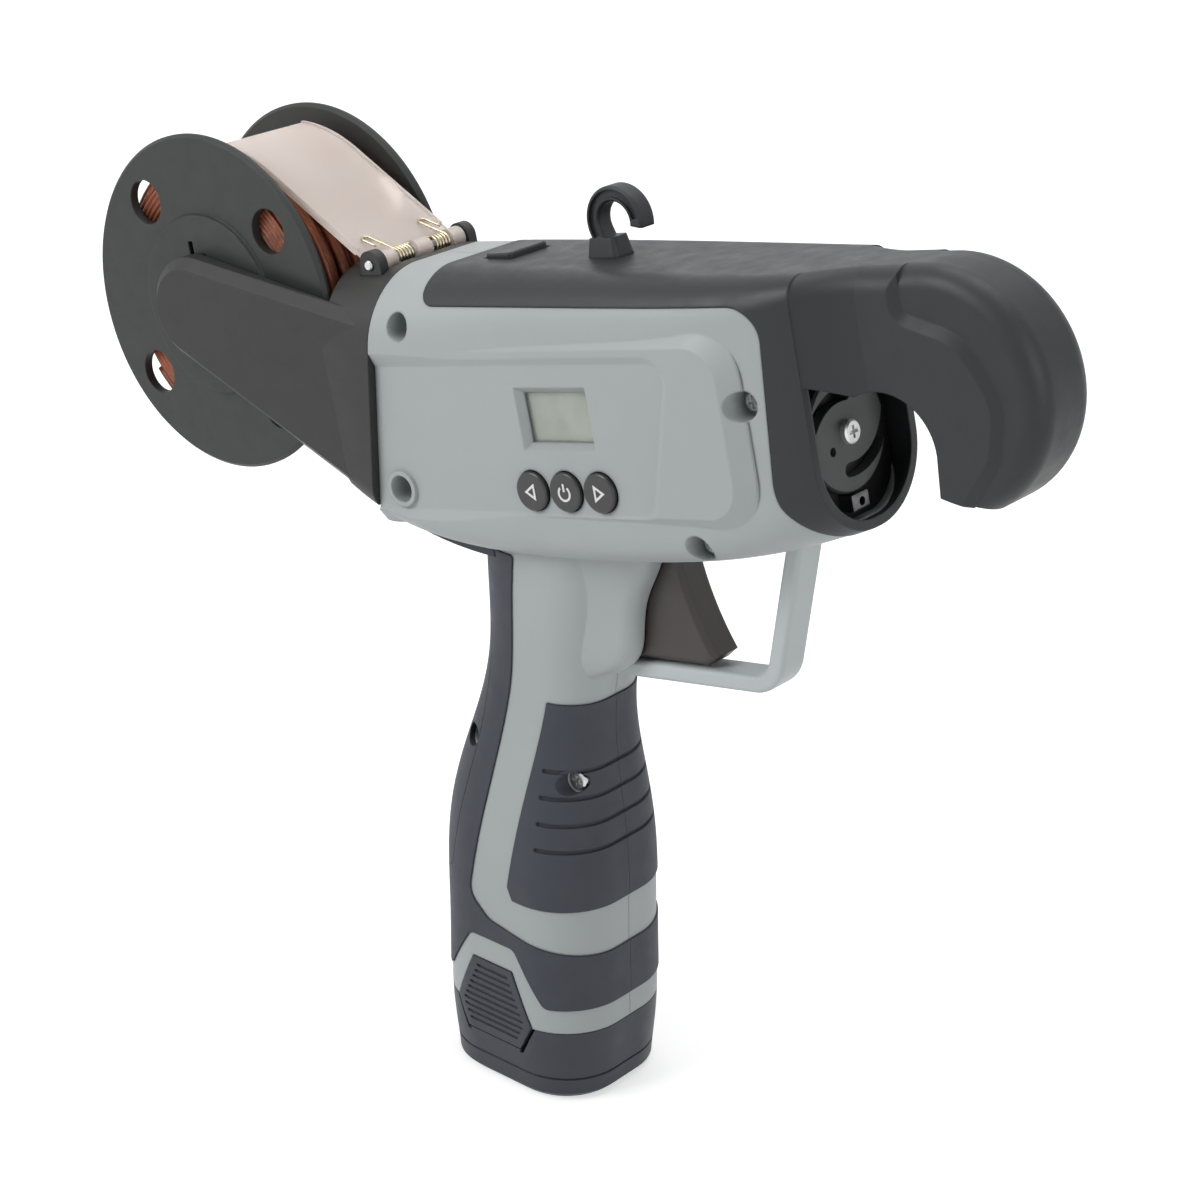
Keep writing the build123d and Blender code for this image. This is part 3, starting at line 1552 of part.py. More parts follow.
# Fork arm on the right: a bevelled bar from the axle to the seam, with a raised middle
arm_yaw = atan2(arm_outer - arm_outer_seam, arm_seam_ahead)
arm_along = Vector(*forward) * cos(arm_yaw) + Vector(0, sin(arm_yaw), 0)
arm_out = arm_along.cross(barrel.y_dir)
arm_face = Plane(
    origin=barrel.from_local_coords((0, 0, arm_outer - arm_raise)),
    x_dir=arm_along,
    z_dir=arm_out,
)
with BuildPart() as arm:
    with BuildSketch(arm_face):
        add(arm_outline((0, 0), arm_end_radius, arm_top_seam, arm_bottom_seam))
    extrude(amount=-2 * arm_thick)
    chamfer(arm.faces().sort_by(Axis((0, 0, 0), arm_out))[-1].edges(), arm_bevel)
    with BuildSketch(arm_face):
        add(arm_outline((arm_panel_ahead, arm_panel_rise), arm_panel_radius, arm_panel_top, arm_panel_bottom))
    extrude(amount=arm_raise, taper=arm_ramp)
    with BuildSketch(barrel.offset(arm_inner)):
        Rectangle(4 * far, 4 * far)
    extrude(amount=far, mode=Mode.INTERSECT)

# Rear fork, before it is parted at the middle
with BuildPart() as fork:
    add(skin_form)
    with BuildSketch(barrel):
        Polygon(
            (0, -arm_end_radius - spool_clear),
            (arm_seam_ahead, arm_bottom_seam),
            (arm_seam_ahead, -far),
            (0, -far),
            align=None,
        )
    extrude(amount=far, both=True, mode=Mode.SUBTRACT)
    with BuildSketch(barrel):
        with Locations((fork_wall_ahead, trough_floor - trough_wall)):
            Rectangle(far, far, align=(Align.MIN, Align.MAX))
    fork_room = extrude(amount=far, both=True, mode=Mode.PRIVATE)
    add(fork_room.intersect(room), mode=Mode.SUBTRACT)
    with BuildSketch(barrel):
        Circle(flange_radius + spool_clear)
    extrude(amount=arm_inner, both=True, mode=Mode.SUBTRACT)
    add(arm.part)
    add(arm.part.mirror(Plane.XZ))
    split(bisect_by=Plane.YZ.offset(-seam_back - seam_gap), keep=Keep.BOTTOM)
    with BuildSketch(axle_side):
        Circle(stub_spigot + fit_gap)
    extrude(amount=arm_inner + stub_spigot_length + fit_gap, both=True, mode=Mode.SUBTRACT)
    with BuildSketch(barrel):
        with Locations((hinge_ahead, trough_floor + far / 2)):
            Rectangle(bracket_length + 2 * fit_gap, far)
    extrude(amount=lug_outside + fit_gap, both=True, mode=Mode.SUBTRACT)
    with BuildSketch(barrel):
        with Locations((hinge_ahead, hinge_rise)):
            Circle(spring_room + lug_clear)
    extrude(amount=lug_inside, both=True, mode=Mode.SUBTRACT)
    with BuildSketch(station(rear_station - inlet_flange)):
        with Locations((0, inlet_rise)):
            Circle(inlet_radius + fit_gap)
    extrude(amount=far, mode=Mode.SUBTRACT)

with BuildPart() as fork_right:
    add(fork.part)
    split(bisect_by=Plane.XZ.offset(seam_gap / 3), keep=Keep.TOP)
fork_right.part.label = "fork_right"
export_step(fork_right.part, "parts/fork_right.step")

with BuildPart() as fork_left:
    add(fork.part)
    split(bisect_by=Plane.XZ.offset(-seam_gap / 3), keep=Keep.BOTTOM)
fork_left.part.label = "fork_left"
export_step(fork_left.part, "parts/fork_left.step")

# Bush that leads the wire from the spool into the barrel
with BuildPart() as wire_inlet:
    with BuildSketch(station(rear_station)):
        with Locations((0, inlet_rise)):
            Circle(inlet_radius)
    extrude(amount=fork_wall_ahead - rear_station)
    with BuildSketch(station(rear_station)):
        with Locations((0, inlet_rise)):
            Circle(inlet_radius + inlet_flange)
    extrude(amount=-inlet_flange)
    with BuildSketch(station(rear_station - inlet_flange)):
        with Locations((0, inlet_rise)):
            Circle(inlet_bore)
    extrude(amount=far, mode=Mode.SUBTRACT)
    fillet(wire_inlet.edges().sort_by(Axis(barrel.origin, forward))[0], inlet_flange / 2)
wire_inlet.part.label = "wire_inlet"
export_step(wire_inlet.part, "parts/wire_inlet.step")


def toothed_wheel(place, teeth, width, bore):
    """Straight-toothed wheel whose tips stay within their own circle."""
    root = gear_module * (teeth / 2 - tooth_share)
    tip = gear_module * (teeth / 2 + tooth_share)
    with BuildPart() as form:
        with BuildSketch(place):
            Circle(root)
            with PolarLocations((root + tip - tooth_share) / 2, teeth):
                Rectangle(tip - root + tooth_share, gear_module * pi * 0.42)
            Circle(bore, mode=Mode.SUBTRACT)
        extrude(amount=width)
    return form.part


rotor_place = station(rotor_back)
rotor_spot = (0, rotor_rise)
motor_spot = (0, motor_rise)
wire_spot = (0, wire_rise)

# Plates that carry the bearings and the twist motor
with BuildPart() as front_plate:
    add(room_fit)
    split(bisect_by=station(front_plate_ahead), keep=Keep.TOP)
    split(bisect_by=station(front_plate_ahead + bearing_width), keep=Keep.BOTTOM)
    with BuildSketch(station(front_plate_ahead)):
        with Locations(rotor_spot):
            Circle(bearing_outer + fit_gap)
        with Locations(wire_spot):
            Circle(tube_radius + fit_gap)
        with Locations((0, plate_top + far / 2)):
            Rectangle(2 * far, far)
    extrude(amount=bearing_width, mode=Mode.SUBTRACT)
front_plate.part.label = "front_plate"
export_step(front_plate.part, "parts/front_plate.step")

with BuildPart() as motor_plate:
    add(room_fit)
    split(bisect_by=station(motor_plate_ahead), keep=Keep.TOP)
    split(bisect_by=station(motor_plate_ahead + bearing_width), keep=Keep.BOTTOM)
    with BuildSketch(station(motor_plate_ahead)):
        with Locations(rotor_spot):
            Circle(bearing_outer + fit_gap)
        with Locations(motor_spot):
            Circle(motor_nose + fit_gap)
        with Locations(wire_spot):
            Circle(tube_radius + fit_gap)
        with Locations((0, plate_top + far / 2)):
            Rectangle(2 * far, far)
    extrude(amount=bearing_width, mode=Mode.SUBTRACT)
motor_plate.part.label = "motor_plate"
export_step(motor_plate.part, "parts/motor_plate.step")

with BuildPart() as nose_plate:
    add(room_fit)
    split(bisect_by=station(nose_plate_ahead), keep=Keep.TOP)
    split(bisect_by=station(nose_plate_ahead + nose_plate_thick), keep=Keep.BOTTOM)
    with BuildSketch(station(nose_plate_ahead)):
        with Locations(rotor_spot):
            Circle(shaft_radius + mesh_gap)
        with Locations(wire_spot):
            Circle(tube_radius + fit_gap)
        with Locations((0, plate_top + far / 2)):
            Rectangle(2 * far, far)
    extrude(amount=nose_plate_thick, mode=Mode.SUBTRACT)
nose_plate.part.label = "nose_plate"
export_step(nose_plate.part, "parts/nose_plate.step")


def ball_bearing(ahead):
    """Ball bearing seen as a ring with sunk seals on both faces."""
    with BuildPart() as form:
        with BuildSketch(station(ahead)):
            with Locations(rotor_spot):
                Circle(bearing_outer)
                Circle(shaft_radius + fit_gap, mode=Mode.SUBTRACT)
        extrude(amount=bearing_width)
        for face_ahead in (ahead, ahead + bearing_width - seal_sink):
            with BuildSketch(station(face_ahead)):
                with Locations(rotor_spot):
                    Circle(bearing_outer - bearing_ring)
                    Circle(shaft_radius + bearing_ring, mode=Mode.SUBTRACT)
            extrude(amount=seal_sink, mode=Mode.SUBTRACT)
    return form.part


with BuildPart() as ball_bearings:
    add(ball_bearing(front_plate_ahead))
    add(ball_bearing(motor_plate_ahead))
ball_bearings.part.label = "ball_bearings"
export_step(ball_bearings.part, "parts/ball_bearings.step")

# Twisting rotor with its hooked slot, its shaft and screw
with BuildPart() as rotor:
    with BuildSketch(rotor_place):
        with Locations(rotor_spot):
            Circle(rotor_radius)
    extrude(amount=rotor_thick)
    chamfer(rotor.faces().sort_by(Axis(barrel.origin, forward))[-1].edges(), rotor_edge)
    for turned in (1, -1):
        slot_points = []
        for across, up in (rotor_slot_mouth, rotor_slot_middle, rotor_slot_end):
            slot_points.append((turned * across, rotor_rise + turned * up))
        with BuildSketch(rotor_place):
            with BuildLine() as slot_line:
                ThreePointArc(*slot_points)
            trace(slot_line.line, line_width=rotor_slot_width)
            with Locations(slot_points[2]):
                Circle(rotor_slot_width / 2)
        extrude(amount=rotor_thick, mode=Mode.SUBTRACT)
    with BuildSketch(rotor_place):
        with Locations((rotor_hole_spot[0], rotor_rise + rotor_hole_spot[1])):
            Circle(rotor_hole_radius)
    extrude(amount=rotor_thick, mode=Mode.SUBTRACT)
    with BuildSketch(rotor_place):
        with Locations(rotor_spot):
            Circle(screw_radius + fit_gap)
    extrude(amount=rotor_thick, mode=Mode.SUBTRACT)
rotor.part.label = "rotor"
export_step(rotor.part, "parts/rotor.step")

with BuildPart() as rotor_shaft:
    with BuildSketch(station(motor_plate_ahead)):
        with Locations(rotor_spot):
            Circle(shaft_radius)
    extrude(amount=rotor_back - fit_gap - motor_plate_ahead)
    with BuildSketch(station(rotor_back - fit_gap)):
        with Locations(rotor_spot):
            Circle(screw_radius + fit_gap)
    extrude(amount=-rotor_screw_length, mode=Mode.SUBTRACT)
rotor_shaft.part.label = "rotor_shaft"
export_step(rotor_shaft.part, "parts/rotor_shaft.step")

with BuildPart() as rotor_screw:
    seat = Plane(
        origin=barrel.from_local_coords((rotor_front + fit_gap, rotor_rise, 0)),
        x_dir=(0, 1, 0),
        z_dir=forward,
    )
    add(cross_screw(seat, rotor_screw_length, rotor_screw_head))
rotor_screw.part.label = "rotor_screw"
export_step(rotor_screw.part, "parts/rotor_screw.step")

# Gear on the rotor shaft, pinion and motor
with BuildPart() as twist_gear:
    wheel_place = Plane(
        origin=barrel.from_local_coords((gear_ahead, rotor_rise, 0)), x_dir=(0, 1, 0), z_dir=forward
    )
    add(toothed_wheel(wheel_place, gear_teeth, gear_width, shaft_radius + fit_gap))
twist_gear.part.label = "twist_gear"
export_step(twist_gear.part, "parts/twist_gear.step")

with BuildPart() as motor_pinion:
    wheel_place = Plane(
        origin=barrel.from_local_coords((gear_ahead, motor_rise, 0)), x_dir=(0, 1, 0), z_dir=forward
    )
    add(toothed_wheel(wheel_place, pinion_teeth, gear_width, motor_shaft_radius + fit_gap))
motor_pinion.part.label = "motor_pinion"
export_step(motor_pinion.part, "parts/motor_pinion.step")

with BuildPart() as twist_motor:
    with BuildSketch(station(motor_plate_ahead - fit_gap)):
        with Locations(motor_spot):
            Circle(motor_radius)
    extrude(amount=-motor_length)
    chamfer(twist_motor.edges().filter_by(GeomType.CIRCLE), motor_clear)
    with BuildSketch(station(motor_plate_ahead - fit_gap)):
        with Locations(motor_spot):
            Circle(motor_nose)
    extrude(amount=bearing_width)
    with BuildSketch(station(motor_plate_ahead)):
        with Locations(motor_spot):
            Circle(motor_shaft_radius)
    extrude(amount=gear_ahead + gear_width - motor_plate_ahead)
    with BuildSketch(station(motor_plate_ahead - motor_length)):
        with Locations(motor_spot):
            Circle(motor_nose)
    extrude(amount=-motor_clear)
twist_motor.part.label = "twist_motor"
export_step(twist_motor.part, "parts/twist_motor.step")

# Rails that carry the wire feed, tied to the motor plate
with BuildPart() as rail_clip:
    add(room_fit)
    add(grip_room_fit)
    with BuildSketch(station(motor_plate_ahead - fit_gap)):
        Rectangle(4 * far, 4 * far)
    extrude(amount=far, mode=Mode.SUBTRACT)

with BuildPart() as feed_rails:
    with BuildSketch(barrel):
        Polygon(
            (rail_rear, rail_top),
            (rail_mid, rail_top),
            (rail_mid, rail_bar_top),
            (motor_plate_ahead + far, rail_bar_top),
            (motor_plate_ahead + far, rail_bar_low),
            (rail_mid, rail_bar_low),
            (rail_mid, rail_low),
            (rail_rear, rail_low),
            align=None,
        )
    extrude(amount=rail_outside, both=True)
    with BuildSketch(barrel):
        Rectangle(4 * far, 4 * far)
    extrude(amount=rail_inside, both=True, mode=Mode.SUBTRACT)
    with BuildSketch(barrel):
        with Locations((rail_rear + rail_thick / 2, (rail_top + rail_bar_top) / 2)):
            Rectangle(rail_thick, rail_top - rail_bar_top)
    extrude(amount=rail_outside, both=True)
    add(rail_clip.part, mode=Mode.INTERSECT)
    with BuildSketch(barrel):
        with Locations((feed_ahead, feed_rise)):
            Circle(feed_shaft_radius + fit_gap)
        with Locations((feed_ahead, pinch_rise)):
            Circle(pinch_axle_radius + fit_gap)
    extrude(amount=far, both=True, mode=Mode.SUBTRACT)
    with BuildSketch(barrel):
        with Locations((feed_ahead, feed_motor_rise)):
            Circle(feed_motor_nose + fit_gap)
    extrude(amount=-far, mode=Mode.SUBTRACT)
feed_rails.part.label = "feed_rails"
export_step(feed_rails.part, "parts/feed_rails.step")

with BuildPart() as feed_motor:
    with BuildSketch(barrel.offset(-rail_inside + fit_gap)):
        with Locations((feed_ahead, feed_motor_rise)):
            Circle(feed_motor_radius)
    extrude(amount=feed_motor_length)
    chamfer(feed_motor.edges().filter_by(GeomType.CIRCLE), motor_clear)
    with BuildSketch(barrel.offset(-rail_inside + fit_gap)):
        with Locations((feed_ahead, feed_motor_rise)):
            Circle(feed_motor_nose)
    extrude(amount=-rail_thick)
    with BuildSketch(barrel.offset(-rail_inside)):
        with Locations((feed_ahead, feed_motor_rise)):
            Circle(motor_shaft_radius)
    extrude(amount=-(feed_gear_inside + feed_gear_width - rail_inside))
feed_motor.part.label = "feed_motor"
export_step(feed_motor.part, "parts/feed_motor.step")

with BuildPart() as feed_pinion:
    wheel_place = Plane(
        origin=barrel.from_local_coords((feed_ahead, feed_motor_rise, -feed_gear_inside)),
        x_dir=forward,
        z_dir=(0, 1, 0),
    )
    add(toothed_wheel(wheel_place, feed_pinion_teeth, feed_gear_width, motor_shaft_radius + fit_gap))
feed_pinion.part.label = "feed_pinion"
export_step(feed_pinion.part, "parts/feed_pinion.step")

with BuildPart() as feed_gear:
    wheel_place = Plane(
        origin=barrel.from_local_coords((feed_ahead, feed_rise, -feed_gear_inside)),
        x_dir=forward,
        z_dir=(0, 1, 0),
    )
    add(toothed_wheel(wheel_place, feed_gear_teeth, feed_gear_width, feed_shaft_radius + fit_gap))
feed_gear.part.label = "feed_gear"
export_step(feed_gear.part, "parts/feed_gear.step")

with BuildPart() as feed_roller:
    with BuildSketch(barrel):
        with Locations((feed_ahead, feed_rise)):
            Circle(feed_roller_radius)
    extrude(amount=feed_roller_width / 2, both=True)
    with BuildSketch(barrel.offset(rail_outside)):
        with Locations((feed_ahead, feed_rise)):
            Circle(feed_shaft_radius)
    extrude(amount=-(rail_outside + feed_gear_inside + feed_gear_width))
feed_roller.part.label = "feed_roller"
export_step(feed_roller.part, "parts/feed_roller.step")

with BuildPart() as pinch_roller:
    with BuildSketch(barrel):
        with Locations((feed_ahead, pinch_rise)):
            Circle(pinch_radius)
    extrude(amount=feed_roller_width / 2, both=True)
    with BuildSketch(barrel):
        with Locations((feed_ahead, pinch_rise)):
            Circle(pinch_axle_radius)
    extrude(amount=rail_outside, both=True)
pinch_roller.part.label = "pinch_roller"
export_step(pinch_roller.part, "parts/pinch_roller.step")

# Guide tube from the rollers to the nose, and the steel nozzle the wire leaves by
with BuildPart() as wire_guide_tube:
    with BuildSketch(station(tube_start)):
        with Locations(wire_spot):
            Circle(tube_radius)
            Circle(tube_bore, mode=Mode.SUBTRACT)
    extrude(amount=nose_plate_ahead + nose_plate_thick - tube_start)
wire_guide_tube.part.label = "wire_guide_tube"
export_step(wire_guide_tube.part, "parts/wire_guide_tube.step")

nozzle_back = nose_plate_ahead + nose_plate_thick + fit_gap
with BuildPart() as wire_nozzle:
    with BuildSketch(station(nozzle_back)):
        with Locations((0, rotor_rise - rotor_radius - mesh_gap)):
            Rectangle(2 * nozzle_half, nozzle_depth, align=(Align.CENTER, Align.MAX))
    extrude(amount=nozzle_length)
    chamfer(wire_nozzle.faces().sort_by(Axis(barrel.origin, forward))[-1].edges(), rotor_edge)
    with BuildSketch(station(nozzle_back)):
        with Locations(wire_spot):
            Circle(tube_bore)
    extrude(amount=nozzle_length, mode=Mode.SUBTRACT)
wire_nozzle.part.label = "wire_nozzle"
export_step(wire_nozzle.part, "parts/wire_nozzle.step")

# Trigger on its pin, and the switch it presses
with BuildPart() as trigger:
    with BuildSketch(Plane.XZ):
        with BuildLine():
            sag_x = (trigger_front_x + trigger_tip_x) / 2 - trigger_sag
            sag_z = (trigger_front_z + trigger_tip_z) / 2 - trigger_sag / 3
            ThreePointArc((trigger_front_x, trigger_front_z), (sag_x, sag_z), (trigger_tip_x, trigger_tip_z))
            Polyline(
                (trigger_tip_x, trigger_tip_z),
                (trigger_bottom_x, trigger_bottom_z),
                (trigger_rear_x, trigger_rear_z),
                (trigger_pivot_x - trigger_eye, trigger_pivot_z),
                (trigger_pivot_x, trigger_pivot_z),
                (trigger_front_x, trigger_front_z),
            )
        make_face()
    extrude(amount=trigger_half, both=True)
    chamfer(trigger.faces().sort_by(Axis.Y)[0].edges(), trigger_edge)
    chamfer(trigger.faces().sort_by(Axis.Y)[-1].edges(), trigger_edge)
    with BuildSketch(Plane.XZ):
        with Locations((trigger_pivot_x, trigger_pivot_z)):
            Circle(trigger_eye)
    extrude(amount=trigger_half, both=True)
    with BuildSketch(Plane.XZ):
        with Locations((trigger_pivot_x, trigger_pivot_z)):
            Circle(trigger_pin_radius + pin_fit)
    extrude(amount=far, both=True, mode=Mode.SUBTRACT)
trigger.part.label = "trigger"
export_step(trigger.part, "parts/trigger.step")

with BuildPart() as trigger_pin:
    with BuildSketch(Plane.XZ):
        with Locations((trigger_pivot_x, trigger_pivot_z)):
            Circle(trigger_pin_radius)
    extrude(amount=trigger_pin_half - boss_wall - fit_gap, both=True)
trigger_pin.part.label = "trigger_pin"
export_step(trigger_pin.part, "parts/trigger_pin.step")

with BuildPart() as trigger_switch:
    with BuildSketch(Plane.XZ):
        with Locations(((switch_back + switch_front) / 2, switch_z)):
            Rectangle(switch_front - switch_back, switch_height)
    extrude(amount=switch_half, both=True)
    with BuildSketch(Plane.XY.offset(switch_z - switch_flange / 2)):
        with Locations((switch_flange_front, 0)):
            Rectangle(far, far, align=(Align.MAX, Align.CENTER))
    flange = extrude(amount=switch_flange, mode=Mode.PRIVATE)
    add(flange.intersect(grip_room_fit))
trigger_switch.part.label = "trigger_switch"
export_step(trigger_switch.part, "parts/trigger_switch.step")

# Battery pack: foot and stick in one case, three cells, two side latches
latch_back = collar_half_width - latch_thick
latch_stop = latch_back - latch_travel - latch_room
with BuildPart() as latch_pocket:
    add(latch_outline(latch_gap, latch_low))
    with BuildSketch(Plane.XZ):
        Rectangle(4 * far, 4 * far)
    extrude(amount=latch_stop, both=True, mode=Mode.SUBTRACT)

with BuildPart() as cap_groove:
    with BuildSketch(Plane.XY.offset(cap_seam)):
        Rectangle(far, far)
    extrude(amount=cap_seam_width)
    add(handle_form(cap_seam_depth, 0, cap_height), mode=Mode.SUBTRACT)

# Slits beside the latches that let them bend
with BuildPart() as latch_slits:
    slit_lean = (latch_half_wide - latch_half_low) / (latch_wide - latch_low)
    slit_foot = latch_half_wide - slit_lean * (latch_wide - slit_low)
    with BuildSketch(Plane.XZ):
        for side in (-1, 1):
            Polygon(
                (latch_x + side * latch_half_wide, latch_wide),
                (latch_x + side * (latch_half_wide + slit_width), latch_wide),
                (latch_x + side * (slit_foot + slit_width), slit_low),
                (latch_x + side * slit_foot, slit_low),
                align=None,
            )
    extrude(amount=far, both=True)
    add(handle_form(slit_depth, 0, cap_height), mode=Mode.SUBTRACT)

with BuildPart() as battery_case:
    add(handle_form(0, 0, cap_height - cap_gap))
    chamfer(battery_case.faces().sort_by(Axis.Z)[0].edges(), cap_edge)
    with BuildSketch(Plane.XY.offset(cap_height - cap_edge)):
        RectangleRounded(2 * stick_half_depth, 2 * stick_half_width, stick_corner)
    extrude(amount=stick_top - cap_height + cap_edge)
    chamfer(battery_case.faces().sort_by(Axis.Z)[-1].edges(), stick_wall / 2)
    with BuildSketch(Plane.XY.offset(cell_floor - cell_gap)):
        RectangleRounded(
            2 * (stick_half_depth - stick_wall),
            2 * (stick_half_width - stick_wall),
            stick_corner - stick_wall,
        )
    extrude(amount=cell_length + 2 * cell_gap, mode=Mode.SUBTRACT)
    add(latch_pocket.part, mode=Mode.SUBTRACT)
    add(cap_groove.part, mode=Mode.SUBTRACT)
    add(latch_slits.part, mode=Mode.SUBTRACT)
battery_case.part.label = "battery_case"
export_step(battery_case.part, "parts/battery_case.step")

cell_ring = (cell_radius + cell_gap / 2) / cos(radians(30))
with BuildPart() as battery_cells:
    with BuildSketch(Plane.XY.offset(cell_floor)):
        with PolarLocations(cell_ring, 3):
            Circle(cell_radius)
    extrude(amount=cell_length - cell_cap)
    with BuildSketch(Plane.XY.offset(cell_floor + cell_length - cell_cap)):
        with PolarLocations(cell_ring, 3):
            Circle(cell_radius / 3)
    extrude(amount=cell_cap)
battery_cells.part.label = "battery_cells"
export_step(battery_cells.part, "parts/battery_cells.step")

with BuildPart() as latch_ribs:
    for row in range(rib_count):
        rib_z = rib_start + row * rib_pitch
        if rib_z < latch_wide:
            share = (rib_z - latch_low) / (latch_wide - latch_low)
            room_half = latch_half_low + share * (latch_half_wide - latch_half_low)
        else:
            share = (rib_z - latch_wide) / (latch_high - latch_wide)
            room_half = latch_half_wide + share * (latch_half_high - latch_half_wide)
        with BuildSketch(Plane.XZ):
            with Locations((latch_x, rib_z)):
                SlotOverall(2 * (room_half - rib_margin), rib_width)
        extrude(amount=far, both=True)
    add(handle_form(rib_sink - latch_proud, 0, root_height), mode=Mode.SUBTRACT)

with BuildPart() as latch_pair:
    add(latch_outline(0, latch_low + latch_gap))
    add(handle_form(-latch_proud, 0, root_height), mode=Mode.INTERSECT)
    with BuildSketch(Plane.XZ):
        Rectangle(4 * far, 4 * far)
    extrude(amount=latch_back, both=True, mode=Mode.SUBTRACT)
    add(latch_ribs.part, mode=Mode.SUBTRACT)

with BuildPart() as latch_right:
    add(latch_pair.part)
    split(bisect_by=Plane.XZ, keep=Keep.TOP)
latch_right.part.label = "latch_right"
export_step(latch_right.part, "parts/latch_right.step")

with BuildPart() as latch_left:
    add(latch_pair.part)
    split(bisect_by=Plane.XZ, keep=Keep.BOTTOM)
latch_left.part.label = "latch_left"
export_step(latch_left.part, "parts/latch_left.step")

# Terminal plate in the handle above the battery, with its contacts
with BuildPart() as terminal_plate:
    with BuildSketch(Plane.XY.offset(terminal_z)):
        Rectangle(far, far)
    extrude(amount=terminal_thick)
    add(grip_room_fit, mode=Mode.INTERSECT)
terminal_plate.part.label = "terminal_plate"
export_step(terminal_plate.part, "parts/terminal_plate.step")

with BuildPart() as battery_contacts:
    with BuildSketch(Plane.XY.offset(terminal_z)):
        with GridLocations(contact_pitch, contact_pitch, 3, 1):
            Rectangle(contact_width, contact_width / 2)
    extrude(amount=-contact_length)
battery_contacts.part.label = "battery_contacts"
export_step(battery_contacts.part, "parts/battery_contacts.step")
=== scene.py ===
"""Looks of the electric vine tying tool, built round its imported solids."""
import json
import math

import bpy
from mathutils import Matrix, Vector
from mathutils import noise as mnoise


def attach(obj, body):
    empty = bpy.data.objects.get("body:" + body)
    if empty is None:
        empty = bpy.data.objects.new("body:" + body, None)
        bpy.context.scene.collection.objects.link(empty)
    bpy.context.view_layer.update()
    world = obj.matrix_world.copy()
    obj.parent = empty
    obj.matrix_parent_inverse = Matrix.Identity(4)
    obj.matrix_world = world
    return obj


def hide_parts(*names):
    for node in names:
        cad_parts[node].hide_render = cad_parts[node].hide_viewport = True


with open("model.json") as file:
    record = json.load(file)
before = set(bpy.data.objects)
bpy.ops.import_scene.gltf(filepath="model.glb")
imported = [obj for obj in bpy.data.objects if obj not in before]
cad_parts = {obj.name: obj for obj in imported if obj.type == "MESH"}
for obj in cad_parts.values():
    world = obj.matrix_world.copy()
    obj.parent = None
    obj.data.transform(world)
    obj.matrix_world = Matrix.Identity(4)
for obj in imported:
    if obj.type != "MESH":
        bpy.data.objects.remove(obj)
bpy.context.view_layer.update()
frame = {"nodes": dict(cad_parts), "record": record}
nodes = frame["nodes"]

# The barrel's own frame starts at the spool's axle, given by x and z in metres
MM = 0.001
AXLE = (-0.109, 0.223)
RAKE = math.radians(13.0)


def barrel(ahead, rise, side):
    """Point along, square to and across the barrel, in mm, as a point of the shared frame, in metres."""
    x = AXLE[0] + MM * (ahead * math.cos(RAKE) - rise * math.sin(RAKE))
    z = AXLE[1] + MM * (ahead * math.sin(RAKE) + rise * math.cos(RAKE))
    return Vector((x, MM * side, z))


# Colours


def rgb(red, green, blue):
    """Screen colour, 0 to 255, as linear light by the sRGB curve."""
    out = []
    for value in (red, green, blue):
        c = value / 255.0
        out.append(c / 12.92 if c <= 0.04045 else ((c + 0.055) / 1.055) ** 2.4)
    return (out[0], out[1], out[2], 1.0)


def shade(colour, factor):
    """The colour made darker or lighter."""
    return (min(1.0, colour[0] * factor), min(1.0, colour[1] * factor), min(1.0, colour[2] * factor), 1.0)


# Materials: where most of a noise lies, and how far two normals agree on flats and on edges

NOISE_LOW = 0.3
NOISE_HIGH = 0.7
FLAT_DOT = 0.995
EDGE_DOT = 0.86
BEVEL_SAMPLES = 4


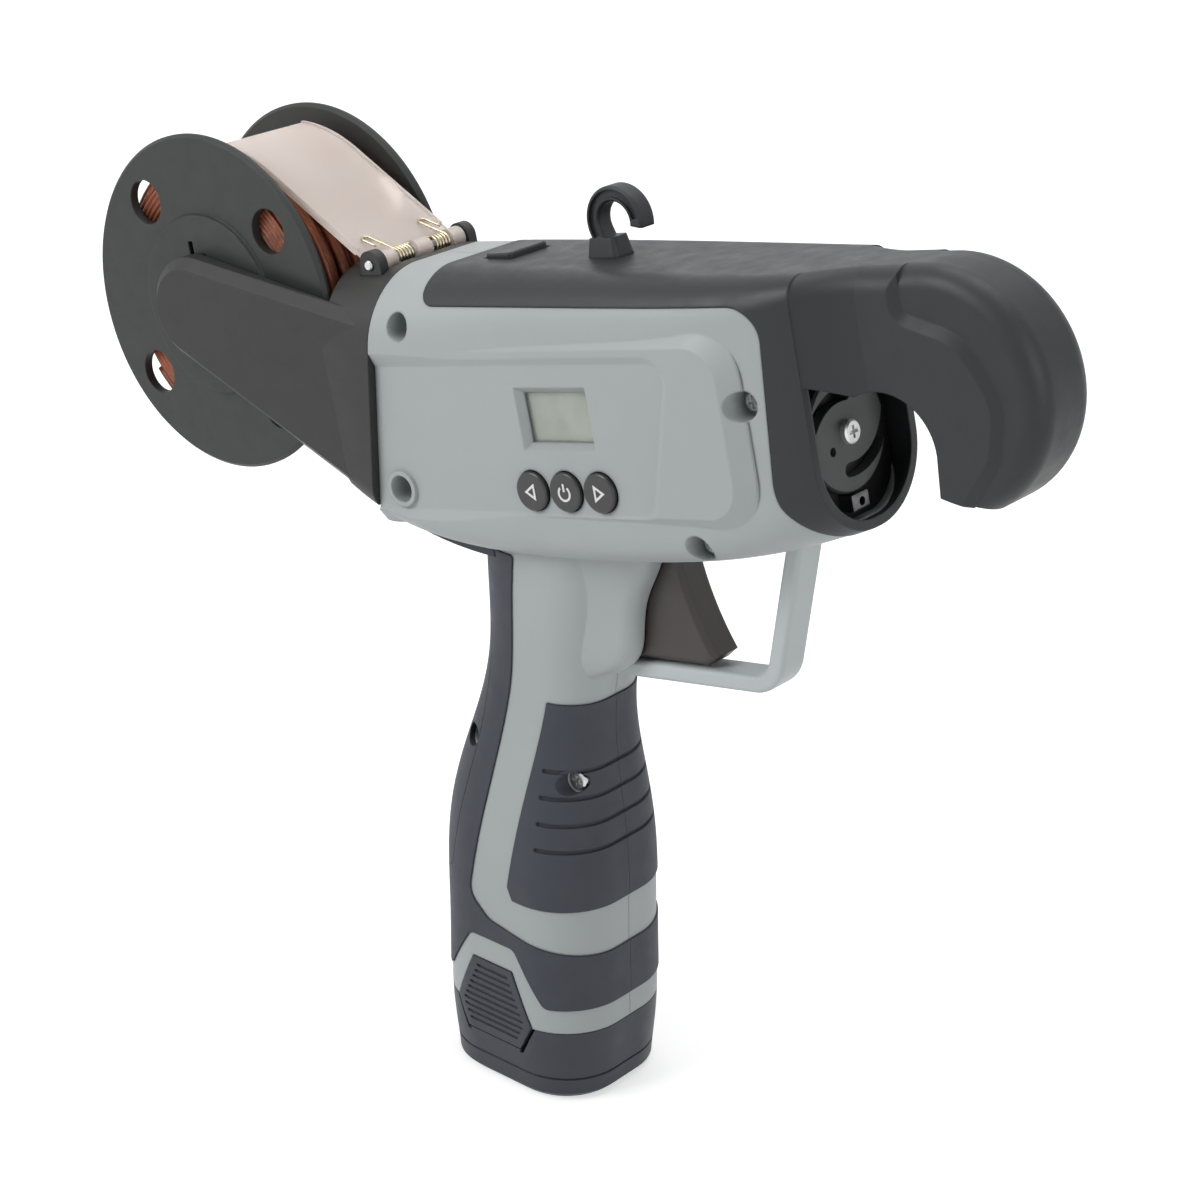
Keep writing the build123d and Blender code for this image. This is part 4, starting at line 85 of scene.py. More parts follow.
class Tree:
    """A material's node tree with short calls for the nodes used here."""

    def __init__(self, name):
        self.material = bpy.data.materials.new(name)
        self.material.use_nodes = True
        self.nodes = self.material.node_tree.nodes
        self.links = self.material.node_tree.links
        self.shader = self.nodes["Principled BSDF"]
        self.output = self.nodes["Material Output"]
        coord = self.nodes.new("ShaderNodeTexCoord")
        self.place = coord.outputs["Object"]

    def link(self, a, b):
        self.links.new(a, b)

    def feed(self, value, socket):
        """Links a value to a socket of the shader."""
        self.link(value, self.shader.inputs[socket])

    def set(self, socket, value):
        """Fixed value for a socket of the shader."""
        self.shader.inputs[socket].default_value = value

    def noise(self, scale, detail=2.0, rough=0.5, place=None):
        node = self.nodes.new("ShaderNodeTexNoise")
        node.inputs["Scale"].default_value = scale
        node.inputs["Detail"].default_value = detail
        node.inputs["Roughness"].default_value = rough
        self.link(place or self.place, node.inputs["Vector"])
        return node.outputs["Fac"]

    def span(self, value, low, high, to_low, to_high):
        """The value's range from low to high, stretched to another range."""
        node = self.nodes.new("ShaderNodeMapRange")
        node.inputs["From Min"].default_value = low
        node.inputs["From Max"].default_value = high
        node.inputs["To Min"].default_value = to_low
        node.inputs["To Max"].default_value = to_high
        self.link(value, node.inputs["Value"])
        return node.outputs["Result"]

    def even(self, value, to_low=0.0, to_high=1.0):
        """A noise stretched evenly to another range."""
        return self.span(value, NOISE_LOW, NOISE_HIGH, to_low, to_high)

    def math(self, kind, a, b):
        node = self.nodes.new("ShaderNodeMath")
        node.operation = kind
        for slot, value in ((0, a), (1, b)):
            if isinstance(value, (int, float)):
                node.inputs[slot].default_value = value
            else:
                self.link(value, node.inputs[slot])
        return node.outputs[0]

    def mix(self, fac, a, b):
        """Two colours mixed; the node's colour sockets are inputs 6 and 7 and output 2."""
        node = self.nodes.new("ShaderNodeMix")
        node.data_type = "RGBA"
        self.link(fac, node.inputs[0])
        for slot, value in ((6, a), (7, b)):
            if isinstance(value, tuple):
                node.inputs[slot].default_value = value
            else:
                self.link(value, node.inputs[slot])
        return node.outputs[2]

    def bump(self, height, strength, distance, normal=None):
        node = self.nodes.new("ShaderNodeBump")
        node.inputs["Strength"].default_value = strength
        node.inputs["Distance"].default_value = distance
        self.link(height, node.inputs["Height"])
        if normal is not None:
            self.link(normal, node.inputs["Normal"])
        return node.outputs["Normal"]

    def soft_edges(self, radius):
        """Normal of the surface with its edges rounded."""
        node = self.nodes.new("ShaderNodeBevel")
        node.samples = BEVEL_SAMPLES
        node.inputs["Radius"].default_value = radius
        return node.outputs["Normal"]

    def edge_mask(self, rounded):
        """Near 1 on sharp edges and 0 on flat ground."""
        geometry = self.nodes.new("ShaderNodeNewGeometry")
        dot = self.nodes.new("ShaderNodeVectorMath")
        dot.operation = "DOT_PRODUCT"
        self.link(rounded, dot.inputs[0])
        self.link(geometry.outputs["Normal"], dot.inputs[1])
        return self.span(dot.outputs["Value"], FLAT_DOT, EDGE_DOT, 0.0, 1.0)


# Moulded plastics and rubber: scales of the slow drift and the patches, depth of the grain, gloss of a coat

DRIFT_SCALE = 22.0
PATCH_SCALE = 160.0
PIT_DEPTH = 0.00012
COAT_ROUGH = 0.12


def moulded(name, colour, rough, grain, relief, vary, wear, round_edge, coat=0.0, spec=0.5):
    """Moulded plastic or rubber: fine eroded grain, slow colour drift, uneven gloss, pale rubbed edges."""
    t = Tree(name)
    rounded = t.soft_edges(round_edge)
    drift = t.noise(DRIFT_SCALE, 4.0, 0.55)
    base = t.mix(t.even(drift), shade(colour, 1.0 - vary), shade(colour, 1.0 + vary))
    specks = t.noise(0.9 / grain, 2.0, 0.6)
    base = t.mix(t.span(specks, 0.56, 0.74, 0.0, 0.35), base, shade(colour, 1.0 - 2.5 * vary))
    patchy = t.noise(PATCH_SCALE, 3.0, 0.6)
    rub = t.math("MULTIPLY", t.edge_mask(rounded), t.span(patchy, 0.35, 0.65, 0.25, 1.0))
    base = t.mix(t.math("MULTIPLY", rub, wear), base, shade(colour, 1.0 + 6.0 * vary + 0.25))
    t.feed(base, "Base Color")
    t.feed(t.even(patchy, rough - 0.05, rough + 0.06), "Roughness")
    pits = t.noise(1.0 / grain, 3.0, 0.55)
    t.feed(t.bump(pits, relief, PIT_DEPTH, rounded), "Normal")
    t.set("Specular IOR Level", spec)
    t.set("Coat Weight", coat)
    t.set("Coat Roughness", COAT_ROUGH)
    return t


PLASTICS = {
    "shell_grey": dict(colour=rgb(166, 172, 172), rough=0.5, grain=0.00045, relief=0.10, vary=0.025,
                       wear=0.22, round_edge=0.0009),
    "head_black": dict(colour=rgb(42, 44, 46), rough=0.44, grain=0.0005, relief=0.28, vary=0.06,
                       wear=0.2, round_edge=0.0008, spec=0.34),
    "fork_grey": dict(colour=rgb(46, 47, 46), rough=0.46, grain=0.0005, relief=0.22, vary=0.05,
                      wear=0.3, round_edge=0.0007, spec=0.34),
    "grip_rubber": dict(colour=rgb(62, 65, 73), rough=0.6, grain=0.0004, relief=0.22, vary=0.045,
                        wear=0.14, round_edge=0.0006, spec=0.32),
    "spool_plastic": dict(colour=rgb(47, 49, 48), rough=0.48, grain=0.0005, relief=0.2, vary=0.05,
                          wear=0.4, round_edge=0.0006, spec=0.34),
    "button_black": dict(colour=rgb(22, 22, 24), rough=0.34, grain=0.0005, relief=0.05, vary=0.08,
                         wear=0.15, round_edge=0.0006, coat=0.25),
    "trigger_brown": dict(colour=rgb(48, 41, 39), rough=0.4, grain=0.0005, relief=0.12, vary=0.06,
                          wear=0.4, round_edge=0.0012),
    "battery_plastic": dict(colour=rgb(58, 61, 69), rough=0.5, grain=0.0004, relief=0.16, vary=0.045,
                            wear=0.2, round_edge=0.0007, spec=0.34),
    "rotor_dark": dict(colour=rgb(66, 68, 68), rough=0.36, grain=0.0006, relief=0.08, vary=0.06,
                       wear=0.35, round_edge=0.0003),
    "inner_plastic": dict(colour=rgb(34, 33, 34), rough=0.4, grain=0.0006, relief=0.1, vary=0.08,
                          wear=0.2, round_edge=0.0004),
    "cell_wrap": dict(colour=rgb(64, 108, 150), rough=0.35, grain=0.0008, relief=0.06, vary=0.05,
                      wear=0.1, round_edge=0.0004),
    "icon_white": dict(colour=rgb(232, 233, 232), rough=0.5, grain=0.0006, relief=0.05, vary=0.03,
                       wear=0.0, round_edge=0.0001),
    # Trigger guard: the shell grey made lighter, a painted highlight for the light that falls on it, not a
    # paler plastic
    "guard_pale": dict(colour=rgb(186, 193, 194), rough=0.45, grain=0.00045, relief=0.08, vary=0.02,
                       wear=0.2, round_edge=0.0009),
}

# Metals: how far the brushing is stretched, its depth, the scale of the smudges, the rounding of edges

BRUSH_STRETCH = 6.0
BRUSH_DEPTH = 0.00008
SMUDGE_SCALE = 140.0
METAL_EDGE = 0.0002


def metal(name, colour, rough, brush):
    """Drawn or turned metal: fine brushing, smudges and duller patches."""
    t = Tree(name)
    rounded = t.soft_edges(METAL_EDGE)
    stretch = t.nodes.new("ShaderNodeMapping")
    stretch.inputs["Scale"].default_value = (1.0, BRUSH_STRETCH, 1.0)
    t.link(t.place, stretch.inputs["Vector"])
    lines = t.noise(brush, 3.0, 0.6, stretch.outputs["Vector"])
    smudge = t.noise(SMUDGE_SCALE, 4.0, 0.6)
    t.feed(t.mix(t.span(smudge, 0.35, 0.7, 0.0, 1.0), shade(colour, 1.04), shade(colour, 0.78)), "Base Color")
    t.feed(t.span(smudge, 0.3, 0.75, rough - 0.07, rough + 0.12), "Roughness")
    t.feed(t.bump(lines, 0.12, BRUSH_DEPTH, rounded), "Normal")
    t.set("Metallic", 1.0)
    return t


METALS = {
    "screw_pale": dict(colour=rgb(222, 223, 222), rough=0.5, brush=900.0),
    "nozzle_steel": dict(colour=rgb(112, 112, 114), rough=0.34, brush=900.0),
    "steel": dict(colour=rgb(196, 197, 198), rough=0.28, brush=900.0),
    "spring_steel": dict(colour=rgb(196, 184, 158), rough=0.24, brush=1400.0),
    "brass": dict(colour=rgb(196, 166, 96), rough=0.3, brush=900.0),
}


def copper_wire(name):
    """Coated tying wire: rust brown, with lighter rubbed streaks and darker dusty turns."""
    t = Tree(name)
    slow = t.noise(60.0, 3.0, 0.55)
    base = t.mix(t.even(slow), rgb(110, 60, 40), rgb(158, 88, 58))
    streak = t.noise(420.0, 3.0, 0.6)
    base = t.mix(t.span(streak, 0.52, 0.72, 0.0, 0.55), base, rgb(174, 106, 72))
    dust = t.noise(240.0, 2.0, 0.5)
    base = t.mix(t.span(dust, 0.6, 0.8, 0.0, 0.6), base, rgb(74, 42, 32))
    t.feed(base, "Base Color")
    t.feed(t.even(slow, 0.34, 0.52), "Roughness")
    t.feed(t.bump(streak, 0.2, 0.0001), "Normal")
    t.set("Metallic", 0.15)
    return t


def milky_clear(name):
    """Milky clear sheet: scatters light, shows the winding faintly, with slow haze and a fine grain."""
    t = Tree(name)
    haze = t.noise(28.0, 2.0, 0.5)
    fine = t.noise(1500.0, 2.0, 0.5)
    t.feed(t.mix(t.even(haze), rgb(248, 236, 229), rgb(252, 245, 240)), "Base Color")
    t.feed(t.even(haze, 0.26, 0.36), "Roughness")
    t.feed(t.bump(fine, 0.05, 0.00005), "Normal")
    t.feed(t.even(haze, 0.6, 0.54), "Transmission Weight")
    t.set("IOR", 1.35)
    return t


def window_lens(name):
    """Clear lens over the display, with faint smears."""
    t = Tree(name)
    smear = t.noise(120.0, 4.0, 0.6)
    t.feed(t.mix(t.even(smear), rgb(236, 240, 238), rgb(246, 248, 247)), "Base Color")
    t.feed(t.span(smear, 0.35, 0.75, 0.03, 0.14), "Roughness")
    t.feed(t.bump(smear, 0.02, 0.00005, t.soft_edges(0.0003)), "Normal")
    t.set("Transmission Weight", 0.96)
    t.set("IOR", 1.25)
    return t


def blank_display(name):
    """Blank LCD: grey green glass with a slow drift of tone and a fine grain."""
    t = Tree(name)
    drift = t.noise(60.0, 3.0, 0.5)
    t.feed(t.mix(t.even(drift), rgb(158, 161, 151), rgb(171, 173, 162)), "Base Color")
    t.feed(t.even(drift, 0.3, 0.42), "Roughness")
    fine = t.noise(2600.0, 2.0, 0.5)
    t.feed(t.bump(fine, 0.06, 0.00004), "Normal")
    return t


def green_board(name):
    """Circuit board: green mask with traces showing as lighter lines."""
    t = Tree(name)
    drift = t.noise(300.0, 2.0, 0.5)
    wave = t.nodes.new("ShaderNodeTexWave")
    wave.wave_type = "BANDS"
    wave.inputs["Scale"].default_value = 260.0
    wave.inputs["Distortion"].default_value = 4.0
    t.link(t.place, wave.inputs["Vector"])
    base = t.mix(t.span(wave.outputs["Fac"], 0.6, 0.75, 0.0, 0.5), rgb(30, 84, 54), rgb(64, 128, 84))
    base = t.mix(t.span(drift, 0.62, 0.72, 0.0, 1.0), base, rgb(170, 160, 110))
    t.feed(base, "Base Color")
    t.feed(t.even(drift, 0.3, 0.45), "Roughness")
    t.feed(t.bump(wave.outputs["Fac"], 0.1, 0.00006), "Normal")
    return t


mats = {}
for name, look in PLASTICS.items():
    mats[name] = moulded(name, **look)
for name, look in METALS.items():
    mats[name] = metal(name, **look)
mats["copper_wire"] = copper_wire("copper_wire")
mats["clear_plastic"] = milky_clear("clear_plastic")
mats["window_clear"] = window_lens("window_clear")
mats["display"] = blank_display("display")
mats["board"] = green_board("board")

# Each CAD node takes the finish of its own slot in the record, but for a few with a finish of their own; the
# trigger guard takes a lighter copy of the shell grey, a painted highlight for the light that falls on it
slot_of = {}
for item in frame["record"]["subparts"]:
    slot_of[item["node"]] = item["material_slot"]
own_finish_or_painted_light = {"trigger_guard": "guard_pale", "rotor_screw": "screw_pale", "wire_nozzle": "nozzle_steel"}
for name, thing in nodes.items():
    for socket in thing.material_slots:
        socket.material = mats[own_finish_or_painted_light.get(name, slot_of[name])].material

# Mesh helpers


def add_mesh(name, points, faces, material, smooth=True):
    """New mesh object with one material."""
    mesh = bpy.data.meshes.new(name)
    mesh.from_pydata([tuple(p) for p in points], [], faces)
    mesh.update()
    if smooth:
        for face in mesh.polygons:
            face.use_smooth = True
    thing = bpy.data.objects.new(name, mesh)
    bpy.context.scene.collection.objects.link(thing)
    mesh.materials.append(mats[material].material)
    return thing


def tube(paths, sides, points, faces):
    """Adds round tubes along smooth paths of (point, radius) to the lists of points and faces."""
    for path in paths:
        first = len(points)
        count = len(path)
        ahead = (path[1][0] - path[0][0]).normalized()
        up = ahead.orthogonal().normalized()
        for k in range(count):
            here, radius = path[k]
            a = path[max(0, k - 1)][0]
            b = path[min(count - 1, k + 1)][0]
            ahead = (b - a).normalized()
            up = (up - ahead * up.dot(ahead)).normalized()
            across = ahead.cross(up)
            for s in range(sides):
                angle = 2 * math.pi * s / sides
                points.append(here + up * (radius * math.cos(angle)) + across * (radius * math.sin(angle)))
        for k in range(count - 1):
            for s in range(sides):
                n = (s + 1) % sides
                i = first + k * sides
                faces.append((i + s, i + n, i + sides + n, i + sides + s))
        faces.append(tuple(first + s for s in reversed(range(sides))))
        faces.append(tuple(first + (count - 1) * sides + s for s in range(sides)))


# Inner layers of the winding, in mm: radii, half width, rows of ridges on the sides and columns on the top

CORE_IN = 20.3
CORE_OUT = 39.3
CORE_HALF = 21.9
SIDE_ROWS = 12
SIDE_BULGE = 0.75
TOP_COLUMNS = 28
TOP_BULGE = 0.7
RIDGE_STEPS = 6
CORE_STEPS = 120
CORE_WOBBLE = 0.12
WOBBLE_RATE = 0.7
WOBBLE_TURN = 0.13

# Outer layers of wire, in mm; turns are counted from straight ahead

WIRE = 0.95
TURNS = 20
PITCH = 2.1
TURN_STEPS = 84
LAYER_RADIUS = 40.25
LAYER_SHIFT = 0.05
LAYER_SPREAD = 0.08
LAYER_SEED = 3.0
SLACK_WIRE = 1.15
SLACK_RADIUS = 41.9
SLACK_SPREAD = 0.9
SLACK_FROM = -0.42
SLACK_TO = 0.5
DRIFT_RATE = 2.1
RISE_RATE = 3.3
RISE_PLACE = 9.0
RISE_REACH = 0.18
BULGE_TURN = 0.55
WIRE_SIDES = 8

# Slack runs: start across the spool, lead sideways in a turn, bulge and noise seed
SLACK = (
    (-19.6, 0.9, 1.3, 11.0),
    (-16.6, 1.4, 2.4, 12.0),
    (-14.2, -0.6, 1.6, 13.0),
    (-11.0, 1.1, 2.9, 14.0),
    (-8.4, -0.9, 1.1, 15.0),
    (-4.6, 0.7, 1.8, 16.0),
    (1.5, 1.6, 0.6, 17.0),
    (9.0, -1.2, 0.8, 18.0),
)


def ridges(count):
    """Way along a row of ridges, in ridges, with the height of the ridge there from 0 to 1."""
    for k in range(count):
        for b in range(RIDGE_STEPS):
            yield k + b / RIDGE_STEPS, math.sin(math.pi * b / RIDGE_STEPS)


def winding_core():
    """Inner layers as one lathed form whose sides and top show the wire turns."""
    flank = CORE_HALF - SIDE_BULGE
    step = (CORE_OUT - CORE_IN) / SIDE_ROWS
    width = 2 * flank / TOP_COLUMNS
    profile = []
    for way, height in ridges(SIDE_ROWS):
        profile.append((CORE_IN + step * way, -(flank + SIDE_BULGE * height)))
    for way, height in ridges(TOP_COLUMNS):
        profile.append((CORE_OUT - TOP_BULGE + TOP_BULGE * height, -flank + width * way))
    for way, height in ridges(SIDE_ROWS):
        profile.append((CORE_OUT - step * way, flank + SIDE_BULGE * height))
    profile.append((CORE_IN, flank))
    points = []
    faces = []
    for r in range(CORE_STEPS):
        angle = 2 * math.pi * r / CORE_STEPS
        for radius, side in profile:
            place = Vector((radius * WOBBLE_RATE, side * WOBBLE_RATE, r * WOBBLE_TURN))
            reach = radius + CORE_WOBBLE * mnoise.noise(place)
            points.append(barrel(reach * math.cos(angle), reach * math.sin(angle), side))
    n = len(profile)
    for r in range(CORE_STEPS):
        here = r * n
        after = ((r + 1) % CORE_STEPS) * n
        for k in range(n - 1):
            faces.append((here + k, here + k + 1, after + k + 1, after + k))
        faces.append((here + n - 1, here, after, after + n - 1))
    return add_mesh("winding_core", points, faces, "copper_wire")


def turn_path(first, last, radius, start_side, pitch, spread, seed, bulge=0.0, thick=WIRE):
    """One run of wire round the pack, from a first to a last turn."""
    path = []
    count = int(TURN_STEPS * (last - first)) + 2
    for k in range(count):
        turn = first + (last - first) * k / (count - 1)
        angle = 2 * math.pi * turn
        drift = mnoise.noise(Vector((turn * DRIFT_RATE, seed, 0.0)))
        rise = mnoise.noise(Vector((turn * RISE_RATE, seed, RISE_PLACE)))
        loose = bulge * max(0.0, math.cos(angle + BULGE_TURN)) ** 2
        side = start_side + pitch * (turn - first) + spread * drift
        reach = radius + RISE_REACH * rise + loose
        path.append((barrel(reach * math.cos(angle), reach * math.sin(angle), side), MM * thick))
    return path


def winding_turns():
    """Outer layer: close turns over the whole width and slack turns, most of them near the right flange."""
    points = []
    faces = []
    start = -PITCH * TURNS / 2 + LAYER_SHIFT
    paths = [turn_path(0.0, TURNS, LAYER_RADIUS, start, PITCH, LAYER_SPREAD, LAYER_SEED)]
    for side, lead, bulge, seed in SLACK:
        paths.append(turn_path(SLACK_FROM, SLACK_TO, SLACK_RADIUS, side, lead, SLACK_SPREAD, seed, bulge,
                               SLACK_WIRE))
    tube(paths, WIRE_SIDES, points, faces)
    return add_mesh("winding_turns", points, faces, "copper_wire")


core = winding_core()
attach(core, "spool")
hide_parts("wire_pack")
turns = winding_turns()
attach(turns, "spool")
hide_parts("wire_outer_layer")

# The two flap springs: coil in mm and degrees of the barrel frame, leg and hairpin in metres

HINGE = (64.6, 8.2)
SPRING_RADIUS = 2.75
SPRING_WIRE = 0.36
SPRING_TURNS = 5
SPRING_PITCH = 1.2
SPRING_MIDDLE = 7.0
SPRING_SIDES = 10
COIL_STEPS = 28
LEG_LEAN = 159.0
LEG_LENGTH = 0.0095
LEG_STEPS = 12
HAIRPIN_RADIUS = 0.0015
HAIRPIN_STEPS = 12
RETURN_LENGTH = 0.005
RETURN_STEPS = 6


def spring_path(side):
    """Coil round the hinge pin whose leg ends in a hairpin on the flap."""
    wire = MM * SPRING_WIRE
    last = (LEG_LEAN - 90.0) / 360.0
    first = last - SPRING_TURNS
    shift = side * SPRING_MIDDLE - side * SPRING_PITCH * (first + last) / 2
    path = []
    count = COIL_STEPS * SPRING_TURNS
    for k in range(count + 1):
        turn = first + (last - first) * k / count
        angle = 2 * math.pi * turn
        ahead = HINGE[0] + SPRING_RADIUS * math.cos(angle)
        rise = HINGE[1] + SPRING_RADIUS * math.sin(angle)
        path.append((barrel(ahead, rise, shift + side * SPRING_PITCH * turn), wire))
    end = path[-1][0]
    angle = 2 * math.pi * last
    along = (barrel(-math.sin(angle), math.cos(angle), 0.0) - barrel(0.0, 0.0, 0.0)) * (1.0 / MM)
    across = Vector((0.0, side, 0.0))
    for k in range(1, LEG_STEPS + 1):
        path.append((end + along * (LEG_LENGTH * k / LEG_STEPS), wire))
    top = path[-1][0]
    for k in range(1, HAIRPIN_STEPS + 1):
        bend = math.pi * k / HAIRPIN_STEPS
        lift = along * (HAIRPIN_RADIUS * math.sin(bend))
        path.append((top + lift + across * (HAIRPIN_RADIUS * (1.0 - math.cos(bend))), wire))
    foot = path[-1][0]
    for k in range(1, RETURN_STEPS + 1):
        path.append((foot - along * (RETURN_LENGTH * k / RETURN_STEPS), wire))
    return path


spring_points = []
spring_faces = []
tube([spring_path(1), spring_path(-1)], SPRING_SIDES, spring_points, spring_faces)
springs = add_mesh("flap_spring_pair", spring_points, spring_faces, "spring_steel")
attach(springs, "flap")
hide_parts("flap_springs")

# Signs on the three keys, in mm: arrow, power, arrow

KEY_FACE = -30.2
KEY_RISE = -53.2
KEY_AHEAD = (121.4, 133.7, 146.0)
INK = 0.14
INK_ROOT = 0.05
STROKE = 0.62
SHARPEST = 0.35
NO_LENGTH = 1e-9
ARROW_TIP = 1.7
ARROW_FOOT = 1.2
ARROW_HALF = 1.85
RING_RADIUS = 1.95
RING_DROP = 0.2
RING_GAP = 38
RING_STEPS = 32
BAR_TOP = 2.5
BAR_FOOT = 0.3


def ribbon(outline, width, closed, points, faces):
    """Raised stroke of even width along a line on the key face."""
    first = len(points)
    count = len(outline)
    for k in range(count):
        if closed:
            a = outline[k - 1]
            b = outline[(k + 1) % count]
        else:
            a = outline[max(0, k - 1)]
            b = outline[min(count - 1, k + 1)]
        here = outline[k]
        into = Vector((here[0] - a[0], here[1] - a[1], 0.0))
        out = Vector((b[0] - here[0], b[1] - here[1], 0.0))
        if into.length < NO_LENGTH:
            into = out
        if out.length < NO_LENGTH:
            out = into
        into.normalize()
        out.normalize()
        mid = (into + out).normalized()
        reach = width / 2 / max(SHARPEST, mid.dot(into))
        side = Vector((-mid.y, mid.x, 0.0)) * reach
        for sign in (-1, 1):
            u = here[0] + sign * side.x
            w = here[1] + sign * side.y
            points.append(barrel(u, w, KEY_FACE + INK_ROOT))
            points.append(barrel(u, w, KEY_FACE - INK))
    last = count if closed else count - 1
    for k in range(last):
        i = first + 4 * k
        n = first + 4 * ((k + 1) % count)
        faces.append((i + 1, n + 1, n + 3, i + 3))
        faces.append((i, i + 1, n + 1, n))
        faces.append((i + 2, n + 2, n + 3, i + 3))
    if not closed:
        faces.append((first, first + 1, first + 3, first + 2))
        tail = first + 4 * (count - 1)
        faces.append((tail, tail + 1, tail + 3, tail + 2))


def arrow_sign(name, ahead, way):
    """Outlined triangle."""
    points = []
    faces = []
    foot = ahead - way * ARROW_FOOT
    tip = ahead + way * ARROW_TIP
    outline = ((tip, KEY_RISE), (foot, KEY_RISE + ARROW_HALF), (foot, KEY_RISE - ARROW_HALF))
    ribbon(outline, STROKE, True, points, faces)
    return add_mesh(name, points, faces, "icon_white", smooth=False)


def power_sign(name, ahead):
    """Open ring with an upright stroke."""
    points = []
    faces = []
    ring = []
    for k in range(RING_STEPS + 1):
        angle = math.radians(90 + RING_GAP + (360 - 2 * RING_GAP) * k / RING_STEPS)
        rise = KEY_RISE - RING_DROP + RING_RADIUS * math.sin(angle)
        ring.append((ahead + RING_RADIUS * math.cos(angle), rise))
    ribbon(ring, STROKE, False, points, faces)
    ribbon([(ahead, KEY_RISE + BAR_TOP), (ahead, KEY_RISE + BAR_FOOT)], STROKE, False, points, faces)
    return add_mesh(name, points, faces, "icon_white", smooth=False)


left_sign = arrow_sign("left_arrow_sign", KEY_AHEAD[0], -1)
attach(left_sign, "left_arrow_key")
ring_sign = power_sign("power_sign", KEY_AHEAD[1])
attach(ring_sign, "power_key")
right_sign = arrow_sign("right_arrow_sign", KEY_AHEAD[2], 1)
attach(right_sign, "right_arrow_key")

# Floor, in metres: its glow makes up for the light it lacks, more so away from the object

FLOOR_SIZE = 8.0
FLOOR_CELLS = 12
FLOOR_LEVEL = -0.0002
FLOOR_DARK = (0.80, 0.80, 0.80, 1.0)
FLOOR_PALE = (0.83, 0.83, 0.83, 1.0)
GLOW_NEAR = 0.5
GLOW_FAR = 2.2
GLOW_LEAST = 0.53
GLOW_MOST = 0.92


def floor():
    """Pale floor that keeps the object's shadow and shows white to the camera."""
    points = []
    faces = []
    for i in range(FLOOR_CELLS + 1):
        for j in range(FLOOR_CELLS + 1):
            x = FLOOR_SIZE * (i / FLOOR_CELLS - 0.5)
            y = FLOOR_SIZE * (j / FLOOR_CELLS - 0.5)
            points.append(Vector((x, y, FLOOR_LEVEL)))
    for i in range(FLOOR_CELLS):
        for j in range(FLOOR_CELLS):
            a = i * (FLOOR_CELLS + 1) + j
            faces.append((a, a + FLOOR_CELLS + 1, a + FLOOR_CELLS + 2, a + 1))
    t = Tree("floor_paper")
    mats["floor_paper"] = t
    t.nodes.remove(t.shader)
    diffuse = t.nodes.new("ShaderNodeBsdfDiffuse")
    drift = t.noise(3.0, 2.0, 0.5)
    t.link(t.mix(t.even(drift), FLOOR_DARK, FLOOR_PALE), diffuse.inputs["Color"])
    glow = t.nodes.new("ShaderNodeEmission")
    rays = t.nodes.new("ShaderNodeLightPath")
    seen = t.math("MAXIMUM", rays.outputs["Is Camera Ray"], rays.outputs["Is Glossy Ray"])
    seen = t.math("MAXIMUM", seen, rays.outputs["Is Transmission Ray"])
    away = t.nodes.new("ShaderNodeVectorMath")
    away.operation = "LENGTH"
    t.link(t.place, away.inputs[0])
    level = t.span(away.outputs["Value"], GLOW_NEAR, GLOW_FAR, GLOW_LEAST, GLOW_MOST)
    t.link(t.math("MULTIPLY", seen, level), glow.inputs["Strength"])
    both = t.nodes.new("ShaderNodeAddShader")
    t.link(diffuse.outputs[0], both.inputs[0])
    t.link(glow.outputs[0], both.inputs[1])
    t.link(both.outputs[0], t.output.inputs["Surface"])
    thing = add_mesh("floor", points, faces, "floor_paper", smooth=False)


floor()

# Lamps: name, place, aim, size in metres and power in watts
LAMPS = (
    ("key_light", (-0.75, -1.25, 1.15), (0.0, 0.0, 0.17), 0.9, 16.8),
    ("fill_light", (1.55, -0.35, 0.75), (0.05, 0.0, 0.17), 1.0, 6.2),
    ("top_light", (-0.1, 0.35, 1.6), (0.0, 0.0, 0.17), 1.2, 11.5),
)


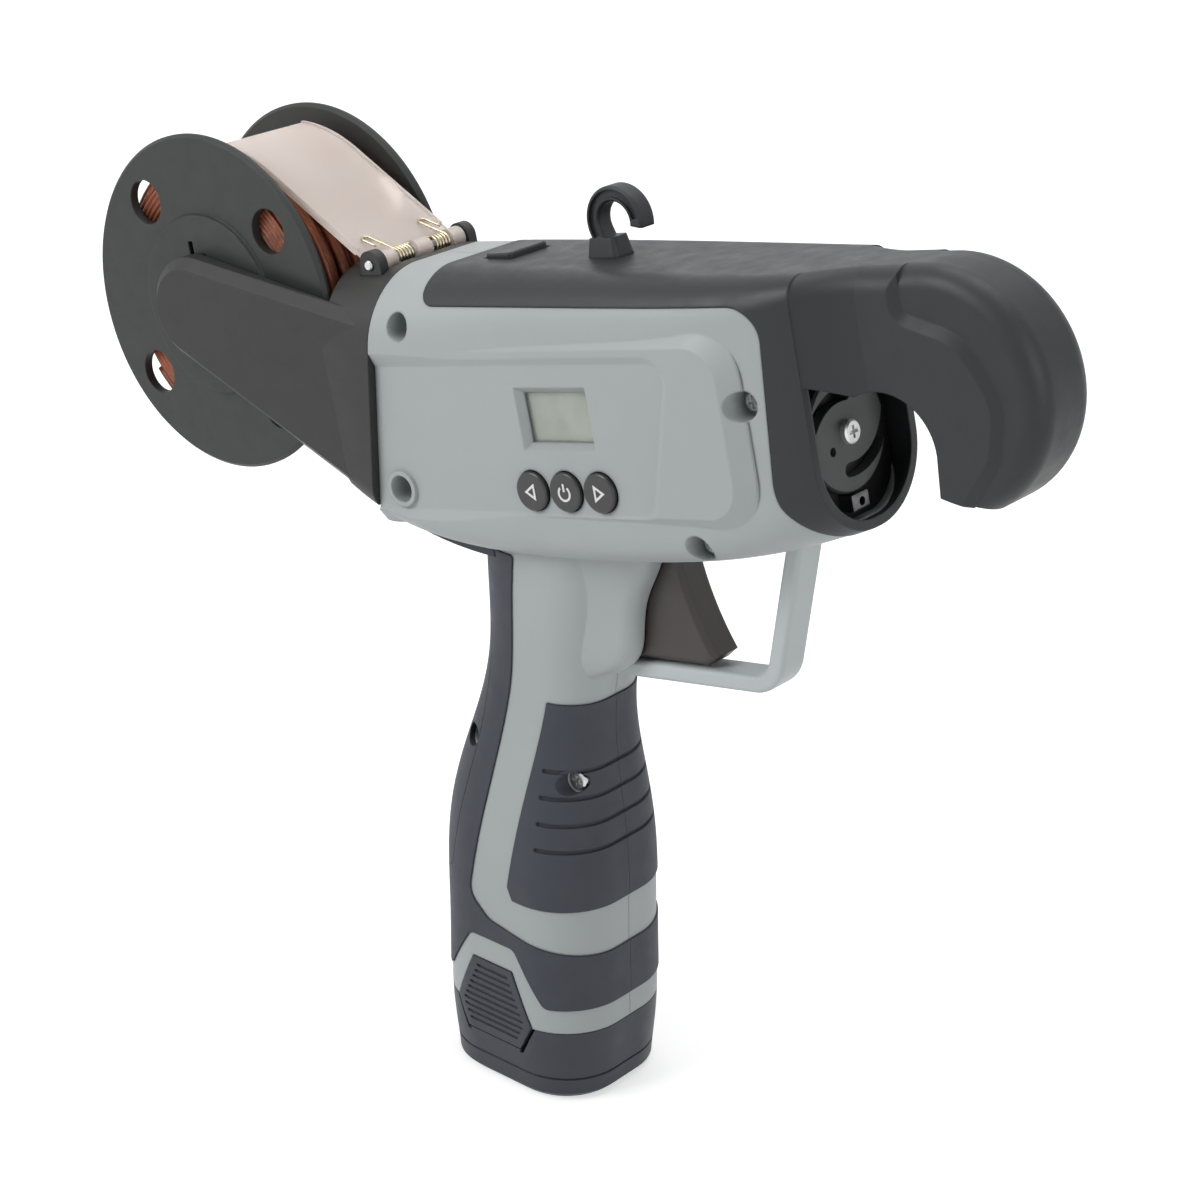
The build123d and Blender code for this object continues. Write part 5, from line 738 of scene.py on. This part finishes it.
def softbox(name, place, aim, size, power):
    """Large square lamp aimed at a point."""
    data = bpy.data.lights.new(name, "AREA")
    data.shape = "SQUARE"
    data.size = size
    data.energy = power
    thing = bpy.data.objects.new(name, data)
    thing.location = place
    thing.rotation_euler = (Vector(aim) - Vector(place)).to_track_quat("-Z", "Y").to_euler()
    bpy.context.scene.collection.objects.link(thing)


for lamp in LAMPS:
    softbox(*lamp)

# World: white to the camera, in gloss and through clear pieces, and a dimmer light on everything else

WORLD_LIGHT = 0.24
WORLD_SHOWN = 1.0


def white_world():
    """World whose strength depends on the kind of ray that meets it."""
    world = bpy.data.worlds.new("studio")
    bpy.context.scene.world = world
    world.use_nodes = True
    wn = world.node_tree.nodes
    wl = world.node_tree.links
    back = wn["Background"]
    back.inputs["Color"].default_value = (1.0, 1.0, 1.0, 1.0)
    rays = wn.new("ShaderNodeLightPath")
    seen = rays.outputs["Is Camera Ray"]
    for kind in ("Is Transmission Ray", "Is Glossy Ray"):
        either = wn.new("ShaderNodeMath")
        either.operation = "MAXIMUM"
        wl.new(seen, either.inputs[0])
        wl.new(rays.outputs[kind], either.inputs[1])
        seen = either.outputs[0]
    level = wn.new("ShaderNodeMapRange")
    level.inputs["To Min"].default_value = WORLD_LIGHT
    level.inputs["To Max"].default_value = WORLD_SHOWN
    wl.new(seen, level.inputs["Value"])
    wl.new(level.outputs["Result"], back.inputs["Strength"])


white_world()

# Camera at the photograph's view: lens and sensor in mm, place in metres, and its three directions

LENS = 86.361
SENSOR = 36.0
CLIP_START = 0.05
CAMERA_PLACE = (0.5066760, -0.5601702, 0.4843300)
CAMERA_RIGHT = (0.7562554, 0.6542444, -0.0064786)
CAMERA_DOWN = (0.2601086, -0.3097216, -0.9145578)
CAMERA_AHEAD = (-0.6003509, 0.6899542, -0.4044033)

camera_data = bpy.data.cameras.new("camera")
camera_data.lens = LENS
camera_data.sensor_width = SENSOR
camera_data.clip_start = CLIP_START
camera = bpy.data.objects.new("camera", camera_data)
bpy.context.scene.collection.objects.link(camera)
turned = Matrix((Vector(CAMERA_RIGHT), -Vector(CAMERA_DOWN), -Vector(CAMERA_AHEAD))).transposed().to_4x4()
turned.translation = Vector(CAMERA_PLACE)
camera.matrix_world = turned
bpy.context.scene.camera = camera

bpy.context.scene.view_settings.view_transform = "Standard"
